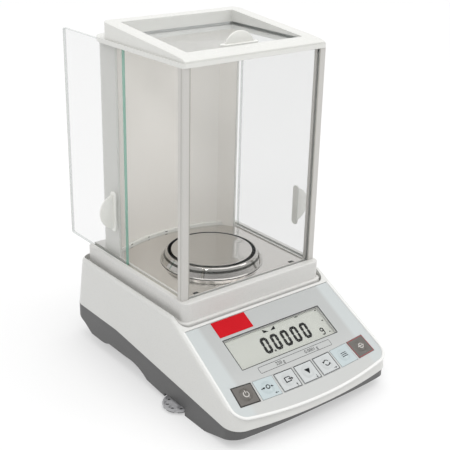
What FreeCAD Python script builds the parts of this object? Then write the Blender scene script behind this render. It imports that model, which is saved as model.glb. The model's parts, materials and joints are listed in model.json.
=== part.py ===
import FreeCAD, Part
import Sketcher
import math
import os

"""Analytical balance with a glass draft shield.

Frame: +X to the right, +Y to the back, +Z up, millimetres.  The origin lies on
the table, below the middle of the balance with its left door open.
"""

Vector = FreeCAD.Vector

# ---------------------------------------------------------------- dimensions

DIMENSIONS = {
    # lower casing and seam
    "seam_rear_z": 42.0,
    "seam_front_z": 20.5,
    "seam_break_y": 44.0,
    "front_y": -172.0,
    "rear_y": 138.0,
    "base_half": 106.6,
    "base_front_y": -160.3,
    "base_corner": 17.0,
    "base_wall": 2.6,
    "underside_z": 3.2,
    "arch_z": 16.5,
    "rear_foot_z": 13.0,
    # upper casing
    "casing_half": 110.0,
    "casing_front_y": -162.6,
    "casing_rear_y": 140.8,
    "casing_corner": 19.0,
    "casing_tall": 130.0,
    "bow_radius": 560.0,
    "draft": 4.0,
    "casing_wall": 3.0,
    "deck_z": 98.0,
    "recess_z": 86.0,
    "recess_half": 98.0,
    "recess_front_y": -67.4,
    "recess_rear_y": 131.0,
    # sloped panel: its top edge, slope and layers
    "tilt": 28.83,
    "panel_y": -69.3,
    "panel_z": 87.8,
    "rim_proud": 0.5,
    "overlay_thick": 1.0,
    "panel_wall": 3.0,
    "overlay_top_half": 98.0,
    "overlay_low_half": 102.3,
    "overlay_top": 1.0,
    "overlay_side": 106.0,
    "overlay_bow": 470.0,
    "window_half": 65.8,
    "window_top": 24.0,
    "window_low": 61.6,
    "label_wide": 43.6,
    "label_left": -66.0,
    "label_top": 1.4,
    "label_tall": 19.2,
    "key_pitch": 26.4,
    "key_wide": 24.0,
    "key_tall": 21.8,
    "key_row": 89.4,
    "key_bow": 1000.0,
    "key_thick": 0.8,
    "key_gap": 0.3,
    "plunger_radius": 3.5,
    "plunger_hole": 4.2,
    "board_depth": 7.4,
    "board_thick": 1.6,
    # draft shield
    "shield_half": 92.8,
    "shield_front_y": -62.5,
    "shield_rear_y": 126.5,
    "skirt_out": 3.0,
    "skirt_z": 92.5,
    "rim_z": 113.0,
    "floor_z": 110.7,
    "plate_thick": 1.0,
    "well_half": 76.0,
    "post_half": 90.0,
    "post_size": 8.5,
    "post_front_y": -55.0,
    "lintel_z": 349.0,
    "lintel_thick": 4.5,
    "glass": 3.0,
    "door_glass": 3.6,
    "door_x": 85.0,
    "track_wide": 4.2,
    "track_z": 109.5,
    "strip_thick": 0.8,
    "door_long": 119.0,
    "door_open_y": 53.0,
    "door_shut_y": -46.2,
    "frame_half": 90.5,
    "frame_front_y": -56.0,
    "column_rear_y": 112.0,
    "bezel_half": 88.0,
    "bezel_rear_y": 90.0,
    "bezel_rear_z": 371.0,
    "bezel_front_z": 359.0,
    "opening_half": 72.5,
    "opening_front_y": -37.0,
    "opening_rear_y": 77.0,
    "lid_half": 79.4,
    "lid_front_y": -40.5,
    "lid_rear_y": 85.0,
    "column_half": 82.0,
    "column_front_y": 74.0,
    "column_wall": 2.5,
    "wall_radius": 170.0,
    "wall_apex_y": 106.0,
    "wall_thick": 2.5,
    "wall_arc_half": 68.0,
    # door handles
    "handle_wide": 9.0,
    "handle_tall": 46.0,
    "handle_base": 2.0,
    "fin_radius": 20.0,
    "fin_out": 16.0,
    "fin_thick": 2.2,
    "handle_set_back": 22.0,
    "handle_z": 168.0,
    "lid_handle_y": -25.0,
    # weighing pan
    "pan_y": 14.0,
    "pan_radius": 45.0,
    "pan_top_z": 123.5,
    "pan_thick": 1.2,
    "ring_foot": 57.0,
    "ring_top": 50.6,
    "ring_inner": 48.2,
    "ring_top_z": 122.8,
    "hub_radius": 9.0,
    "hub_low_z": 96.0,
    "pin_radius": 3.0,
    "pin_top_z": 107.5,
    # weighing cell
    "cell_floor_z": 24.0,
    "cell_plate": 5.0,
    "beam_z": 66.0,
    "beam_tall": 6.0,
    "pivot_y": 45.0,
    "magnet_y": 92.0,
    "magnet_radius": 20.0,
    # levelling feet
    "foot_x": 101.5,
    "foot_y": -65.0,
    "wheel_radius": 17.0,
    "wheel_low_z": 2.0,
    "wheel_tall": 4.0,
    "foot_hub_z": 6.5,
    "foot_clear_z": 8.5,
    "stem_radius": 3.0,
    "stem_top_z": 31.0,
    "insert_radius": 4.4,
    "boss_radius": 7.0,
    "rear_foot_x": 65.0,
    "rear_foot_y": 88.0,
    # casing screws
    "screw_radius": 1.5,
    "screw_head": 3.0,
    "screw_front_x": 94.0,
    "screw_front_y": -140.0,
    "screw_front_z": 13.0,
    "screw_rear_x": 88.0,
    "screw_rear_y": 120.0,
    "screw_rear_z": 29.0,
}


class Size:
    """A number of the sheet together with the expression that gives it."""

    def __init__(self, number, text):
        self.number = float(number)
        self.text = text

    @staticmethod
    def of(item):
        return item if isinstance(item, Size) else Size(item, repr(float(item)))

    def joined(self, other, sign, number):
        return Size(number, "(" + self.text + " " + sign + " " + Size.of(other).text + ")")

    def __add__(self, other):
        return self.joined(other, "+", self.number + Size.of(other).number)

    def __sub__(self, other):
        return self.joined(other, "-", self.number - Size.of(other).number)

    def __mul__(self, other):
        return self.joined(other, "*", self.number * Size.of(other).number)

    def __truediv__(self, other):
        return self.joined(other, "/", self.number / Size.of(other).number)

    def __radd__(self, other):
        return Size.of(other) + self

    def __rsub__(self, other):
        return Size.of(other) - self

    def __rmul__(self, other):
        return Size.of(other) * self

    def __neg__(self):
        return Size(-self.number, "(0 - " + self.text + ")")


def sine(angle):
    """Sine of an angle in degrees, as a size."""
    return Size(math.sin(math.radians(angle.number)), "sin(" + angle.text + ")")


def cosine(angle):
    """Cosine of an angle in degrees, as a size."""
    return Size(math.cos(math.radians(angle.number)), "cos(" + angle.text + ")")


def root(item):
    """Square root of a size."""
    return Size(math.sqrt(item.number), "sqrt(" + item.text + ")")


class Sheet:
    """The spreadsheet of driving dimensions; each alias reads as a Size."""

    def __init__(self, document, values):
        self.cells = document.addObject("Spreadsheet::Sheet", "Dims")
        self.values = values
        for row, (name, number) in enumerate(values.items(), start=1):
            self.cells.set("A" + str(row), name)
            self.cells.set("B" + str(row), str(number))
            self.cells.setAlias("B" + str(row), name)

    def __getattr__(self, name):
        return Size(self.values[name], "Dims." + name)


doc = FreeCAD.newDocument("AnalyticalBalance")
D = Sheet(doc, DIMENSIONS)
doc.recompute()
nodes = []


# ------------------------------------------------------------------- helpers

def bind(item, name, size):
    """Bind one property to its expression."""
    item.setExpression(name, Size.of(size).text)


def place(item, x, y, z):
    """Bind an object's position."""
    bind(item, "Placement.Base.x", x)
    bind(item, "Placement.Base.y", y)
    bind(item, "Placement.Base.z", z)


def node(item, label):
    """Name an object as a sub-part of its own."""
    item.Label = label
    nodes.append(item)
    return item


def box(x0, x1, y0, y1, z0, z1):
    """Block between two corners."""
    item = doc.addObject("Part::Box", "Block")
    bind(item, "Length", x1 - x0)
    bind(item, "Width", y1 - y0)
    bind(item, "Height", z1 - z0)
    place(item, x0, y0, z0)
    return item


def rod(x, y, z0, z1, radius):
    """Upright cylinder."""
    item = doc.addObject("Part::Cylinder", "Rod")
    bind(item, "Radius", radius)
    bind(item, "Height", z1 - z0)
    place(item, x, y, z0)
    return item


def cone(x, y, z0, z1, low, high):
    """Upright cone with a lower and an upper radius."""
    item = doc.addObject("Part::Cone", "Taper")
    bind(item, "Radius1", low)
    bind(item, "Radius2", high)
    bind(item, "Height", z1 - z0)
    place(item, x, y, z0)
    return item


def fuse(*items):
    """One object from several: touching ones join, separate ones stay separate solids."""
    item = doc.addObject("Part::MultiFuse", "Union")
    item.Shapes = list(items)
    item.Refine = True
    return item


def cut(base, *tools):
    """A piece with its tools taken away."""
    item = doc.addObject("Part::Cut", "Cut")
    item.Base = base
    item.Tool = tools[0] if len(tools) == 1 else fuse(*tools)
    item.Refine = True
    return item


def edges_where(shape, test):
    """Numbers of the edges whose two ends and middle pass a test."""
    found = []
    for number, edge in enumerate(shape.Edges, start=1):
        first, last = edge.ParameterRange
        middle = edge.valueAt((first + last) / 2)
        ends = [edge.valueAt(first), edge.valueAt(last)]
        if test(ends[0], middle, ends[1]):
            found.append(number)
    return found


def rounded(base, radius, test):
    """A piece with the edges that pass a test rounded."""
    doc.recompute()
    item = doc.addObject("Part::Fillet", "Rounded")
    item.Base = base
    amount = Size.of(radius).number
    item.Edges = [(number, amount, amount) for number in edges_where(base.Shape, test)]
    doc.recompute()
    return item


def upright(a, m, b):
    """True for a vertical edge."""
    return abs(a.x - b.x) < 0.01 and abs(a.y - b.y) < 0.01 and abs(a.z - b.z) > 0.01


def upright_at(front, rear):
    """Test for vertical edges between two depths."""
    return lambda a, m, b: upright(a, m, b) and front < m.y < rear


def origin_plane(body, role):
    """One of a body's own origin planes."""
    return [item for item in body.Origin.OriginFeatures if item.Role == role][0]


def outline(body, role, points, arcs=None, lift=None):
    """Closed sketch through points; arcs maps a side's number to (radius, centre side).

    The centre side is +1 when the arc's centre is on the left of the way along
    the side, and -1 when it is on the right.
    """
    sketch = body.newObject("Sketcher::SketchObject", "Outline")
    sketch.AttachmentSupport = [(origin_plane(body, role), "")]
    sketch.MapMode = "FlatFace"
    arcs = arcs or {}
    count = len(points)
    points = [(Size.of(across), Size.of(up)) for across, up in points]
    spots = [Vector(across.number, up.number, 0) for across, up in points]
    starts = []
    for side in range(count):
        here = spots[side]
        there = spots[(side + 1) % count]
        if side not in arcs:
            sketch.addGeometry(Part.LineSegment(here, there), False)
            starts.append((1, 2))
            continue
        radius, turn = arcs[side]
        chord = there - here
        left = Vector(-chord.y, chord.x, 0).normalize()
        reach = math.sqrt(Size.of(radius).number ** 2 - chord.Length ** 2 / 4)
        centre = (here + there) * 0.5 + left * (turn * reach)
        first, last = (here, there) if turn > 0 else (there, here)
        angles = [math.atan2(p.y - centre.y, p.x - centre.x) for p in (first, last)]
        if angles[1] < angles[0]:
            angles[1] += 2 * math.pi
        circle = Part.Circle(centre, Vector(0, 0, 1), Size.of(radius).number)
        sketch.addGeometry(Part.ArcOfCircle(circle, angles[0], angles[1]), False)
        starts.append((1, 2) if turn > 0 else (2, 1))
    for side in range(count):
        after = (side + 1) % count
        sketch.addConstraint(Sketcher.Constraint("Coincident", side, starts[side][1],
                                                 after, starts[after][0]))
    for side, (across, up) in enumerate(points):
        for word, size in (("DistanceX", across), ("DistanceY", up)):
            rule = Sketcher.Constraint(word, side, starts[side][0], size.number)
            number = sketch.addConstraint(rule)
            name = word + "_" + str(side)
            sketch.renameConstraint(number, name)
            if "Dims" in size.text:
                sketch.setExpression("Constraints." + name, size.text)
    for side, (radius, turn) in arcs.items():
        rule = Sketcher.Constraint("Radius", side, Size.of(radius).number)
        name = "Radius_" + str(side)
        sketch.renameConstraint(sketch.addConstraint(rule), name)
        sketch.setExpression("Constraints." + name, Size.of(radius).text)
    if lift is not None:
        bind(sketch, "AttachmentOffset.Base.z", lift)
    doc.recompute()
    return sketch


def pad(body, sketch, length, middle=False, taper=None):
    """Pad of a sketch."""
    item = body.newObject("PartDesign::Pad", "Pad")
    item.Profile = sketch
    bind(item, "Length", length)
    item.Midplane = middle
    if taper is not None:
        bind(item, "TaperAngle", taper)
    doc.recompute()
    return item


def pocket(body, sketch, length, middle=False, back=False):
    """Pocket of a sketch; it has to take material away."""
    before = body.Shape.Volume
    item = body.newObject("PartDesign::Pocket", "Pocket")
    item.Profile = sketch
    bind(item, "Length", length)
    item.Midplane = middle
    item.Reversed = back
    doc.recompute()
    if body.Shape.Volume >= before - 0.01:
        raise RuntimeError("a pocket cut nothing: " + item.Name)
    return item


def new_body():
    """Empty body."""
    return doc.addObject("PartDesign::Body", "Piece")


def prism(role, points, length, arcs=None, middle=False, lift=None, taper=None):
    """Body padded from one outline."""
    body = new_body()
    pad(body, outline(body, role, points, arcs, lift), length, middle, taper)
    return body


def turned(points, x, y, arcs=None):
    """Body turned about a vertical axis from (radius, height) points."""
    body = new_body()
    sketch = outline(body, "XZ_Plane", points, arcs)
    item = body.newObject("PartDesign::Revolution", "Turned")
    item.Profile = sketch
    item.ReferenceAxis = (sketch, ["V_Axis"])
    item.Angle = 360
    place(body, x, y, Size.of(0))
    doc.recompute()
    return body


def on_panel(item):
    """Lay a piece drawn flat on the sloped panel: +Y up the slope, +Z out of it."""
    item.Placement.Rotation = FreeCAD.Rotation(Vector(1, 0, 0), 10)
    bind(item, "Placement.Rotation.Angle", D.tilt)
    place(item, Size.of(0), D.panel_y, D.panel_z)
    return item


# --------------------------------------------------------------- lower casing

slope = (D.seam_rear_z - D.seam_front_z) / (D.seam_break_y - D.front_y)
FAR = 200.0
ZERO = Size.of(0)


def seam_height(y):
    """Height of the seam at a depth in front of its break."""
    return D.seam_front_z + slope * (Size.of(y) - D.front_y)


def underside(shift):
    """Side view of the underside, raised by the floor's thickness for the inside."""
    low = D.underside_z + shift
    foot = D.rear_foot_z + shift
    return [
        (-FAR, low + 17.5),
        (-171.5, low + 14.5),
        (-157.0, low + 7.6),
        (-128.0, low),
        (-62.0, low),
        (-14.0, low + 4.5),
        (26.0, D.arch_z + shift),
        (62.0, D.arch_z + shift),
        (77.0, foot),
        (99.0, foot),
        (114.0, foot + 8.0),
        (128.0, foot + 13.0),
        (FAR, foot + 24.0),
    ]


UNDERSIDE_ARCS = {1: (30.0, 1), 3: (110.0, 1), 5: (60.0, -1), 7: (36.0, 1)}


def base_block(inset, shift):
    """Block of the lower casing's plan, cut along the underside and the seam."""
    half = D.base_half - inset
    front = D.base_front_y + inset
    body = new_body()
    plan = [(-half, front), (half, front), (half, D.rear_y - inset - 0.5),
            (-half, D.rear_y - inset - 0.5)]
    pad(body, outline(body, "XY_Plane", plan, {0: (D.bow_radius - inset, 1)}), Size.of(80))
    below = underside(shift) + [(FAR, -40.0), (-FAR, -40.0)]
    sketch = outline(body, "YZ_Plane", below, UNDERSIDE_ARCS)
    pocket(body, sketch, Size.of(400), middle=True)
    if shift == 0:
        above = [(-FAR, seam_height(-FAR)), (D.seam_break_y, D.seam_rear_z),
                 (FAR, D.seam_rear_z), (FAR, 120.0), (-FAR, 120.0)]
        pocket(body, outline(body, "YZ_Plane", above), Size.of(400), middle=True)
    return rounded(body, D.base_corner - inset, upright)


def foot_spots():
    """Signs of the left and the right side."""
    return (-1.0, 1.0)


def screw_spots():
    """Places of the casing's screws: x, y, height under the head and the seam there."""
    spots = []
    for side in foot_spots():
        spots.append((D.screw_front_x * side, D.screw_front_y, D.screw_front_z,
                      seam_height(D.screw_front_y)))
        spots.append((D.screw_rear_x * side, D.screw_rear_y, D.screw_rear_z, D.seam_rear_z))
    return spots


def base_pan():
    """Dark tray with the levelling feet's bosses and the cell's pillars."""
    shell = cut(base_block(ZERO, 0), base_block(D.base_wall, 2.5))
    bosses = []
    holes = []
    clear = D.wheel_radius + 1.6
    for side in foot_spots():
        x = D.foot_x * side
        bosses.append(rod(x, D.foot_y, ZERO + 5.0, ZERO + 29.0, D.boss_radius))
        bosses.append(rod(x, D.foot_y, ZERO + 3.2, D.foot_clear_z + 2.5, clear + 2.2))
        holes.append(rod(x, D.foot_y, ZERO - 1.0, D.foot_clear_z, clear))
        holes.append(rod(x, D.foot_y, ZERO + 5.0, ZERO + 40.0, D.insert_radius))
        for y in (40.0, 108.0):
            bosses.append(rod(ZERO + 22.0 * side, ZERO + y, ZERO + 17.0, D.cell_floor_z, ZERO + 4.0))
    for x, y, under_head, seam in screw_spots():
        bosses.append(rod(x, y, under_head - 5.0, seam, ZERO + 5.0))
        holes.append(rod(x, y, ZERO - 1.0, ZERO + 60.0, D.screw_radius + 0.3))
        holes.append(rod(x, y, ZERO - 1.0, under_head, D.screw_head + 0.4))
    trimmed = cut(fuse(*bosses), outside_of_base())
    return node(cut(fuse(shell, trimmed), *holes), "base_pan")


def outside_of_base():
    """Everything around the lower casing's outer shape, for trimming its bosses."""
    around = box(ZERO - 150.0, ZERO + 150.0, ZERO - 190.0, ZERO + 160.0, ZERO - 20.0, ZERO + 90.0)
    return cut(around, base_block(ZERO, 0))


# --------------------------------------------------------------- upper casing

def casing_block(inset, sink, deck):
    """Tapered block of the upper casing's plan under the deck and the sloped panel."""
    half = D.casing_half - inset
    front = D.casing_front_y + inset
    rear = D.casing_rear_y - inset
    body = new_body()
    plan = [(-half, front), (half, front), (half, rear), (-half, rear)]
    sketch = outline(body, "XY_Plane", plan, {0: (D.bow_radius - inset, 1)})
    pad(body, sketch, D.casing_tall, taper=-D.draft)
    rise = sine(D.tilt) / cosine(D.tilt)
    lift = Size.of(sink) / cosine(D.tilt)
    crest_y = D.panel_y + (deck - D.panel_z + lift) / rise
    foot_z = D.panel_z - lift + rise * (-FAR - D.panel_y)
    above = [(-FAR, foot_z), (crest_y, deck), (FAR, deck), (FAR, 260.0), (-FAR, 260.0)]
    pocket(body, outline(body, "YZ_Plane", above), Size.of(400), middle=True)
    return body


def top_casing():
    """Light upper casing: shell, shield recess, panel recess and openings."""
    outer = rounded(casing_block(ZERO, -D.rim_proud, D.deck_z), D.casing_corner,
                    lambda a, m, b: abs(a.z - b.z) > 10 and abs(a.x - b.x) < 12
                    and abs(a.y - b.y) < 12 and abs(m.x) > 90)
    edges = rounded(outer, 4.0, lambda a, m, b: rim_edge(a, m, b))
    core = rounded(casing_block(D.casing_wall, D.panel_wall + D.overlay_thick,
                                D.recess_z - 2.5), D.casing_corner - D.casing_wall,
                   lambda a, m, b: abs(a.z - b.z) > 10 and abs(a.x - b.x) < 12
                   and abs(a.y - b.y) < 12 and abs(m.x) > 90)
    recess = rounded(box(-D.recess_half, D.recess_half, D.recess_front_y, D.recess_rear_y,
                         D.recess_z, D.recess_z + 40.0), 10.0, upright)
    below = prism("YZ_Plane", [(-FAR, seam_height(-FAR)), (D.seam_break_y, D.seam_rear_z),
                               (FAR, D.seam_rear_z), (FAR, -40.0), (-FAR, -40.0)],
                  Size.of(400), middle=True)
    spindle = rod(ZERO, D.pan_y, ZERO + 60.0, ZERO + 120.0, ZERO + 8.0)
    jack = box(ZERO - 67.0, ZERO - 53.0, ZERO + 120.0, ZERO + 150.0, ZERO + 52.0, ZERO + 64.0)
    port = box(ZERO + 41.6, ZERO + 58.4, ZERO + 120.0, ZERO + 150.0, ZERO + 53.9, ZERO + 62.1)
    shell = cut(edges, core, recess, below, spindle, jack, port, panel_openings())
    pillars = []
    for x, y, under_head, seam in screw_spots():
        high = ZERO + 42.5 if y.number < 0 else D.recess_z - 2.5
        pillars.append(cut(rod(x, y, seam, high, ZERO + 5.0),
                           rod(x, y, seam, seam + 12.0, D.screw_radius + 0.05)))
    return node(fuse(shell, *pillars), "top_casing")


def rim_edge(a, m, b):
    """True for the upper casing's rounded top edges, the side, front and rear ones."""
    if m.z < 26 or abs(a.z - b.z) > 90:
        return False
    inner = abs(m.x) < 1 and abs(a.x) > 60 and m.y > -100 and m.y < 100
    return not inner


def panel_openings():
    """Recess of the overlay with the display's and the plungers' holes."""
    recess = prism("XY_Plane", overlay_plan(0.3), Size.of(12), overlay_arcs(), lift=-D.overlay_thick)
    shapes = [recess]
    shapes.append(box(-D.window_half + 1.0, D.window_half - 1.0, -D.window_low + 1.0,
                      -D.window_top - 1.0, ZERO - 12.0, ZERO + 3.0))
    for number in range(7):
        across, down, turn = key_spot(number)
        shapes.append(rod(across, -down, ZERO - 12.0, ZERO + 3.0, D.plunger_hole))
    return on_panel(fuse(*shapes))


# ------------------------------------------------------------- sloped panel

def overlay_plan(margin):
    """Outline of the overlay: straight top and sides, bowed lower edge."""
    top = -D.overlay_top + margin
    low = -D.overlay_side
    corner = 9.0
    return [
        (-D.overlay_low_half - margin, low + corner),
        (-D.overlay_low_half - margin + corner, low - 1.6 - margin),
        (D.overlay_low_half + margin - corner, low - 1.6 - margin),
        (D.overlay_low_half + margin, low + corner),
        (D.overlay_top_half + margin, top),
        (-D.overlay_top_half - margin, top),
    ]


def overlay_arcs():
    """Radii of the overlay's lower corners and lower edge."""
    return {0: (11.0, 1), 1: (D.overlay_bow, 1), 2: (11.0, 1)}


def key_spot(number):
    """Place of a key across and down the panel, and its turn in degrees."""
    across = D.key_pitch * (number - 3)
    down = D.key_row - (across * across) / (D.key_bow * 2)
    turn = math.degrees(across.number / D.key_bow.number)
    return across, down, turn


def key_names():
    """Names of the seven keys from left to right."""
    return ["power_key", "zero_key", "output_key", "down_key", "cycle_key", "menu_key", "tare_key"]


def overlay():
    """Printed front overlay with openings for the display and the keys."""
    plate = prism("XY_Plane", overlay_plan(0.0), D.overlay_thick, overlay_arcs(),
                  lift=-D.overlay_thick)
    holes = [box(-D.window_half, D.window_half, -D.window_low, -D.window_top,
                 ZERO - 3.0, ZERO + 3.0)]
    for number in range(7):
        holes.append(key_block(number, D.key_gap, ZERO - 3.0, ZERO + 3.0))
    return node(on_panel(cut(plate, *holes)), "panel_overlay")


def key_block(number, gap, low, high):
    """Block of a key's outline, turned with the bowed row."""
    across, down, turn = key_spot(number)
    half_wide = D.key_wide / 2 + gap
    half_tall = D.key_tall / 2 + gap
    block = box(ZERO, half_wide * 2, ZERO, half_tall * 2, low, high)
    angle = math.radians(turn)
    block.Placement.Rotation = FreeCAD.Rotation(Vector(0, 0, 1), turn)
    place(block, across - half_wide * math.cos(angle) + half_tall * math.sin(angle),
          -down - half_wide * math.sin(angle) - half_tall * math.cos(angle), low)
    return block


def keys():
    """Seven keys, each a cap with a raised dome and a plunger behind it."""
    for number, name in enumerate(key_names()):
        across, down, turn = key_spot(number)
        cap = rounded(key_block(number, ZERO, ZERO - 0.5, ZERO - 0.5 + D.key_thick), 1.0, upright)
        plunger = rod(across, -down, ZERO - 4.6, ZERO - 0.5, D.plunger_radius)
        ball = doc.addObject("Part::Sphere", "Ball")
        ball.Radius = 22
        ball.Angle1 = 60
        ball.Angle2 = 90
        place(ball, across, -down, ZERO - 20.4)
        low = box(across - 12.0, across + 12.0, -down - 12.0, -down + 12.0, ZERO - 30.0, ZERO)
        dome = cut(ball, low)
        node(on_panel(fuse(cap, plunger, dome)), name)


def panel_pieces():
    """Label, display and boards behind the panel."""
    label = rounded(box(D.label_left, D.label_left + D.label_wide, -D.label_top - D.label_tall,
                        -D.label_top, ZERO, ZERO + 0.3), 0.5, upright)
    node(on_panel(label), "colour_label")
    window = box(-D.window_half + 0.1, D.window_half - 0.1, -D.window_low + 0.1,
                 -D.window_top - 0.1, -D.overlay_thick, ZERO - 0.2)
    node(on_panel(rounded(window, 0.6, upright)), "display_window")
    glass = box(-D.window_half + 1.4, D.window_half - 1.4, -D.window_low + 1.4,
                -D.window_top - 1.4, ZERO - 5.2, ZERO - 3.0)
    frame = box(ZERO - 70.0, ZERO + 70.0, ZERO - 64.4, ZERO - 21.0, -D.board_depth, ZERO - 5.2)
    node(on_panel(fuse(glass, frame)), "display_module")
    board = box(ZERO - 87.0, ZERO + 87.0, ZERO - 103.0, ZERO - 18.0,
                -D.board_depth - D.board_thick, -D.board_depth)
    header = box(ZERO - 10.0, ZERO + 10.0, ZERO - 24.0, ZERO - 19.0,
                 -D.board_depth - D.board_thick - 5.0, -D.board_depth - D.board_thick)
    node(on_panel(fuse(board, header)), "front_board")
    switches = []
    for number in range(7):
        across, down, turn = key_spot(number)
        switches.append(rod(across, -down, -D.board_depth, ZERO - 5.3, ZERO + 3.2))
    node(on_panel(fuse(*switches)), "key_switches")


# -------------------------------------------------------------- draft shield

def shield_base():
    """Raised frame that carries the posts, the doors' tracks and the floor plate."""
    skirt = rounded(box(-D.shield_half - D.skirt_out, D.shield_half + D.skirt_out,
                        D.shield_front_y - D.skirt_out, D.shield_rear_y + D.skirt_out,
                        D.recess_z, D.skirt_z), 9.0, upright)
    block = rounded(box(-D.shield_half, D.shield_half, D.shield_front_y, D.shield_rear_y,
                        D.skirt_z, D.rim_z), 7.0, upright)
    body = rounded(fuse(skirt, block), 1.6,
                   lambda a, m, b: abs(m.z - DIMENSIONS["rim_z"]) < 0.01
                   or (abs(m.z - DIMENSIONS["skirt_z"]) < 0.01 and abs(a.z - b.z) < 0.01
                       and (abs(m.x) > 94.5 or m.y < -64.5 or m.y > 128.5)))
    holes = [box(-D.well_half, D.well_half, ZERO - 46.0, ZERO + 62.0, ZERO + 80.0, ZERO + 120.0),
             box(ZERO - 81.3, ZERO + 81.3, ZERO - 49.5, ZERO + 73.7, D.floor_z, ZERO + 120.0),
             box(ZERO - 79.3, ZERO + 79.3, ZERO + 73.0, ZERO + 109.3, D.floor_z, ZERO + 120.0),
             box(ZERO - 84.3, ZERO + 84.3, ZERO - 54.2, ZERO - 50.8, D.track_z, ZERO + 120.0)]
    for side in foot_spots():
        middle = D.door_x * side
        holes.append(box(middle - D.track_wide / 2, middle + D.track_wide / 2,
                         ZERO - 46.5, ZERO + 140.0, D.track_z, ZERO + 120.0))
    holes.append(rod(ZERO + 40.0, ZERO + 119.3, D.rim_z - 2.0, ZERO + 120.0, ZERO + 6.0))
    return node(cut(body, *holes), "shield_base")


def glide_strips():
    """Low-friction strips at the bottom of the side doors' tracks."""
    strips = []
    for side in foot_spots():
        middle = D.door_x * side
        strips.append(box(middle - 1.9, middle + 1.9, ZERO - 46.0, ZERO + 126.0,
                          D.track_z, D.track_z + D.strip_thick))
    return node(fuse(*strips), "glide_strips")


def posts():
    """Two corner posts, grooved for the front glass."""
    for side, name in ((-1.0, "left_post"), (1.0, "right_post")):
        near = (D.post_half - D.post_size) * side
        far = D.post_half * side
        low, high = (far, near) if side < 0 else (near, far)
        bar = rounded(box(low, high, D.post_front_y, D.post_front_y + D.post_size,
                          D.rim_z, D.lintel_z), 1.2, upright)
        groove = box(ZERO - 84.5, ZERO + 84.5, ZERO - 54.1, ZERO - 50.9, ZERO + 100.0, ZERO + 360.0)
        node(cut(bar, groove), name)


def front_glass():
    """Fixed front pane."""
    pane = box(ZERO - 84.0, ZERO + 84.0, ZERO - 54.0, ZERO - 54.0 + D.glass,
               D.track_z + 0.5, D.lintel_z + 2.8)
    return node(rounded(pane, 0.4, upright), "front_glass")


def wall_bow(radius):
    """Half the depth of the curved wall's arc at its ends."""
    centre_y = D.wall_apex_y - D.wall_radius
    return centre_y + root(Size.of(radius) * radius - D.wall_arc_half * D.wall_arc_half)


def curved_wall():
    """Curved rear wall of the chamber with a lip along its foot."""
    half = D.wall_arc_half
    inner = wall_bow(D.wall_radius)
    outer = wall_bow(D.wall_radius + D.wall_thick)
    lip = wall_bow(D.wall_radius - 3.5)
    end = D.column_front_y
    sheet = [(-half, outer), (-D.opening_half - 6.7, end + 4.0), (-D.opening_half - 6.7, end),
             (-half, inner), (half, inner), (D.opening_half + 6.7, end),
             (D.opening_half + 6.7, end + 4.0), (half, outer)]
    arcs = {3: (D.wall_radius, -1), 7: (D.wall_radius + D.wall_thick, 1)}
    wall = prism("XY_Plane", sheet, D.lintel_z - D.floor_z, arcs, lift=D.floor_z)
    ledge = [(-half, inner + 1.0), (-half, lip), (half, lip), (half, inner + 1.0)]
    arcs = {1: (D.wall_radius - 3.5, -1), 3: (D.wall_radius - 1.0, 1)}
    foot = prism("XY_Plane", ledge, Size.of(3.6), arcs, lift=D.floor_z)
    return node(fuse(wall, foot), "curved_wall")


def column_cover():
    """Rear column's outer cover, open towards the chamber."""
    outer = rounded(box(-D.column_half, D.column_half, D.column_front_y, D.column_rear_y,
                        D.rim_z, D.lintel_z), 12.0, upright_at(100, 120))
    inside = rounded(box(-D.column_half + D.column_wall, D.column_half - D.column_wall,
                         D.column_front_y - 5.0, D.column_rear_y - D.column_wall,
                         D.rim_z - 5.0, D.lintel_z + 5.0), 9.5, upright_at(100, 120))
    return node(cut(outer, inside), "column_cover")


def top_frame():
    """Flat frame on the posts and the column, grooved for the glass."""
    plate = box(-D.frame_half, D.frame_half, D.frame_front_y, D.column_rear_y,
                D.lintel_z, D.lintel_z + D.lintel_thick)
    plate = rounded(rounded(plate, 24.0, upright_at(100, 120)), 4.0, upright_at(-70, -40))
    holes = [box(-D.opening_half, D.opening_half, D.opening_front_y, D.opening_rear_y,
                 ZERO + 340.0, ZERO + 360.0),
             box(ZERO - 84.3, ZERO + 84.3, ZERO - 54.2, ZERO - 50.8, ZERO + 340.0,
                 D.lintel_z + 3.1)]
    for side in foot_spots():
        middle = D.door_x * side
        holes.append(box(middle - D.track_wide / 2, middle + D.track_wide / 2, ZERO - 46.5,
                         ZERO + 140.0, ZERO + 340.0, D.lintel_z + 2.3))
    return node(cut(plate, *holes), "top_frame")


def top_bezel():
    """Wedge-shaped bezel that the top door slides in."""
    low = D.lintel_z + D.lintel_thick
    side = [(D.frame_front_y + 1.0, low), (D.bezel_rear_y, low),
            (D.bezel_rear_y, D.bezel_rear_z), (D.opening_front_y, D.bezel_front_z),
            (D.opening_front_y - 11.0, D.bezel_front_z - 1.6), (D.frame_front_y + 1.0, low + 1.6)]
    wedge = prism("YZ_Plane", side, D.bezel_half * 2, {4: (16.0, 1)}, middle=True)
    wedge = rounded(rounded(wedge, 10.0, upright_at(85, 95)), 1.2,
                    lambda a, m, b: abs(m.x) > 80 and m.z > 357 and abs(m.z - a.z) < 9
                    and abs(a.x - b.x) < 0.01)
    opening = box(-D.opening_half, D.opening_half, D.opening_front_y, D.opening_rear_y,
                  ZERO + 340.0, ZERO + 380.0)
    groove = box(ZERO - 80.0, ZERO + 80.0, ZERO - 41.5, ZERO + 100.0, low, low + 3.6)
    return node(cut(wedge, opening, groove), "top_bezel")


def door_glass(side, front, name):
    """Side door's pane."""
    middle = D.door_x * side
    pane = box(middle - D.door_glass / 2, middle + D.door_glass / 2, Size.of(front),
               front + D.door_long, D.track_z + 1.0, D.lintel_z + 2.0)
    long_ways = lambda a, m, b: abs(a.y - b.y) < 0.01 and abs(a.z - b.z) < 0.01 and m.y > front.number + 60
    return node(rounded(pane, 2.5, long_ways), name)


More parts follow.
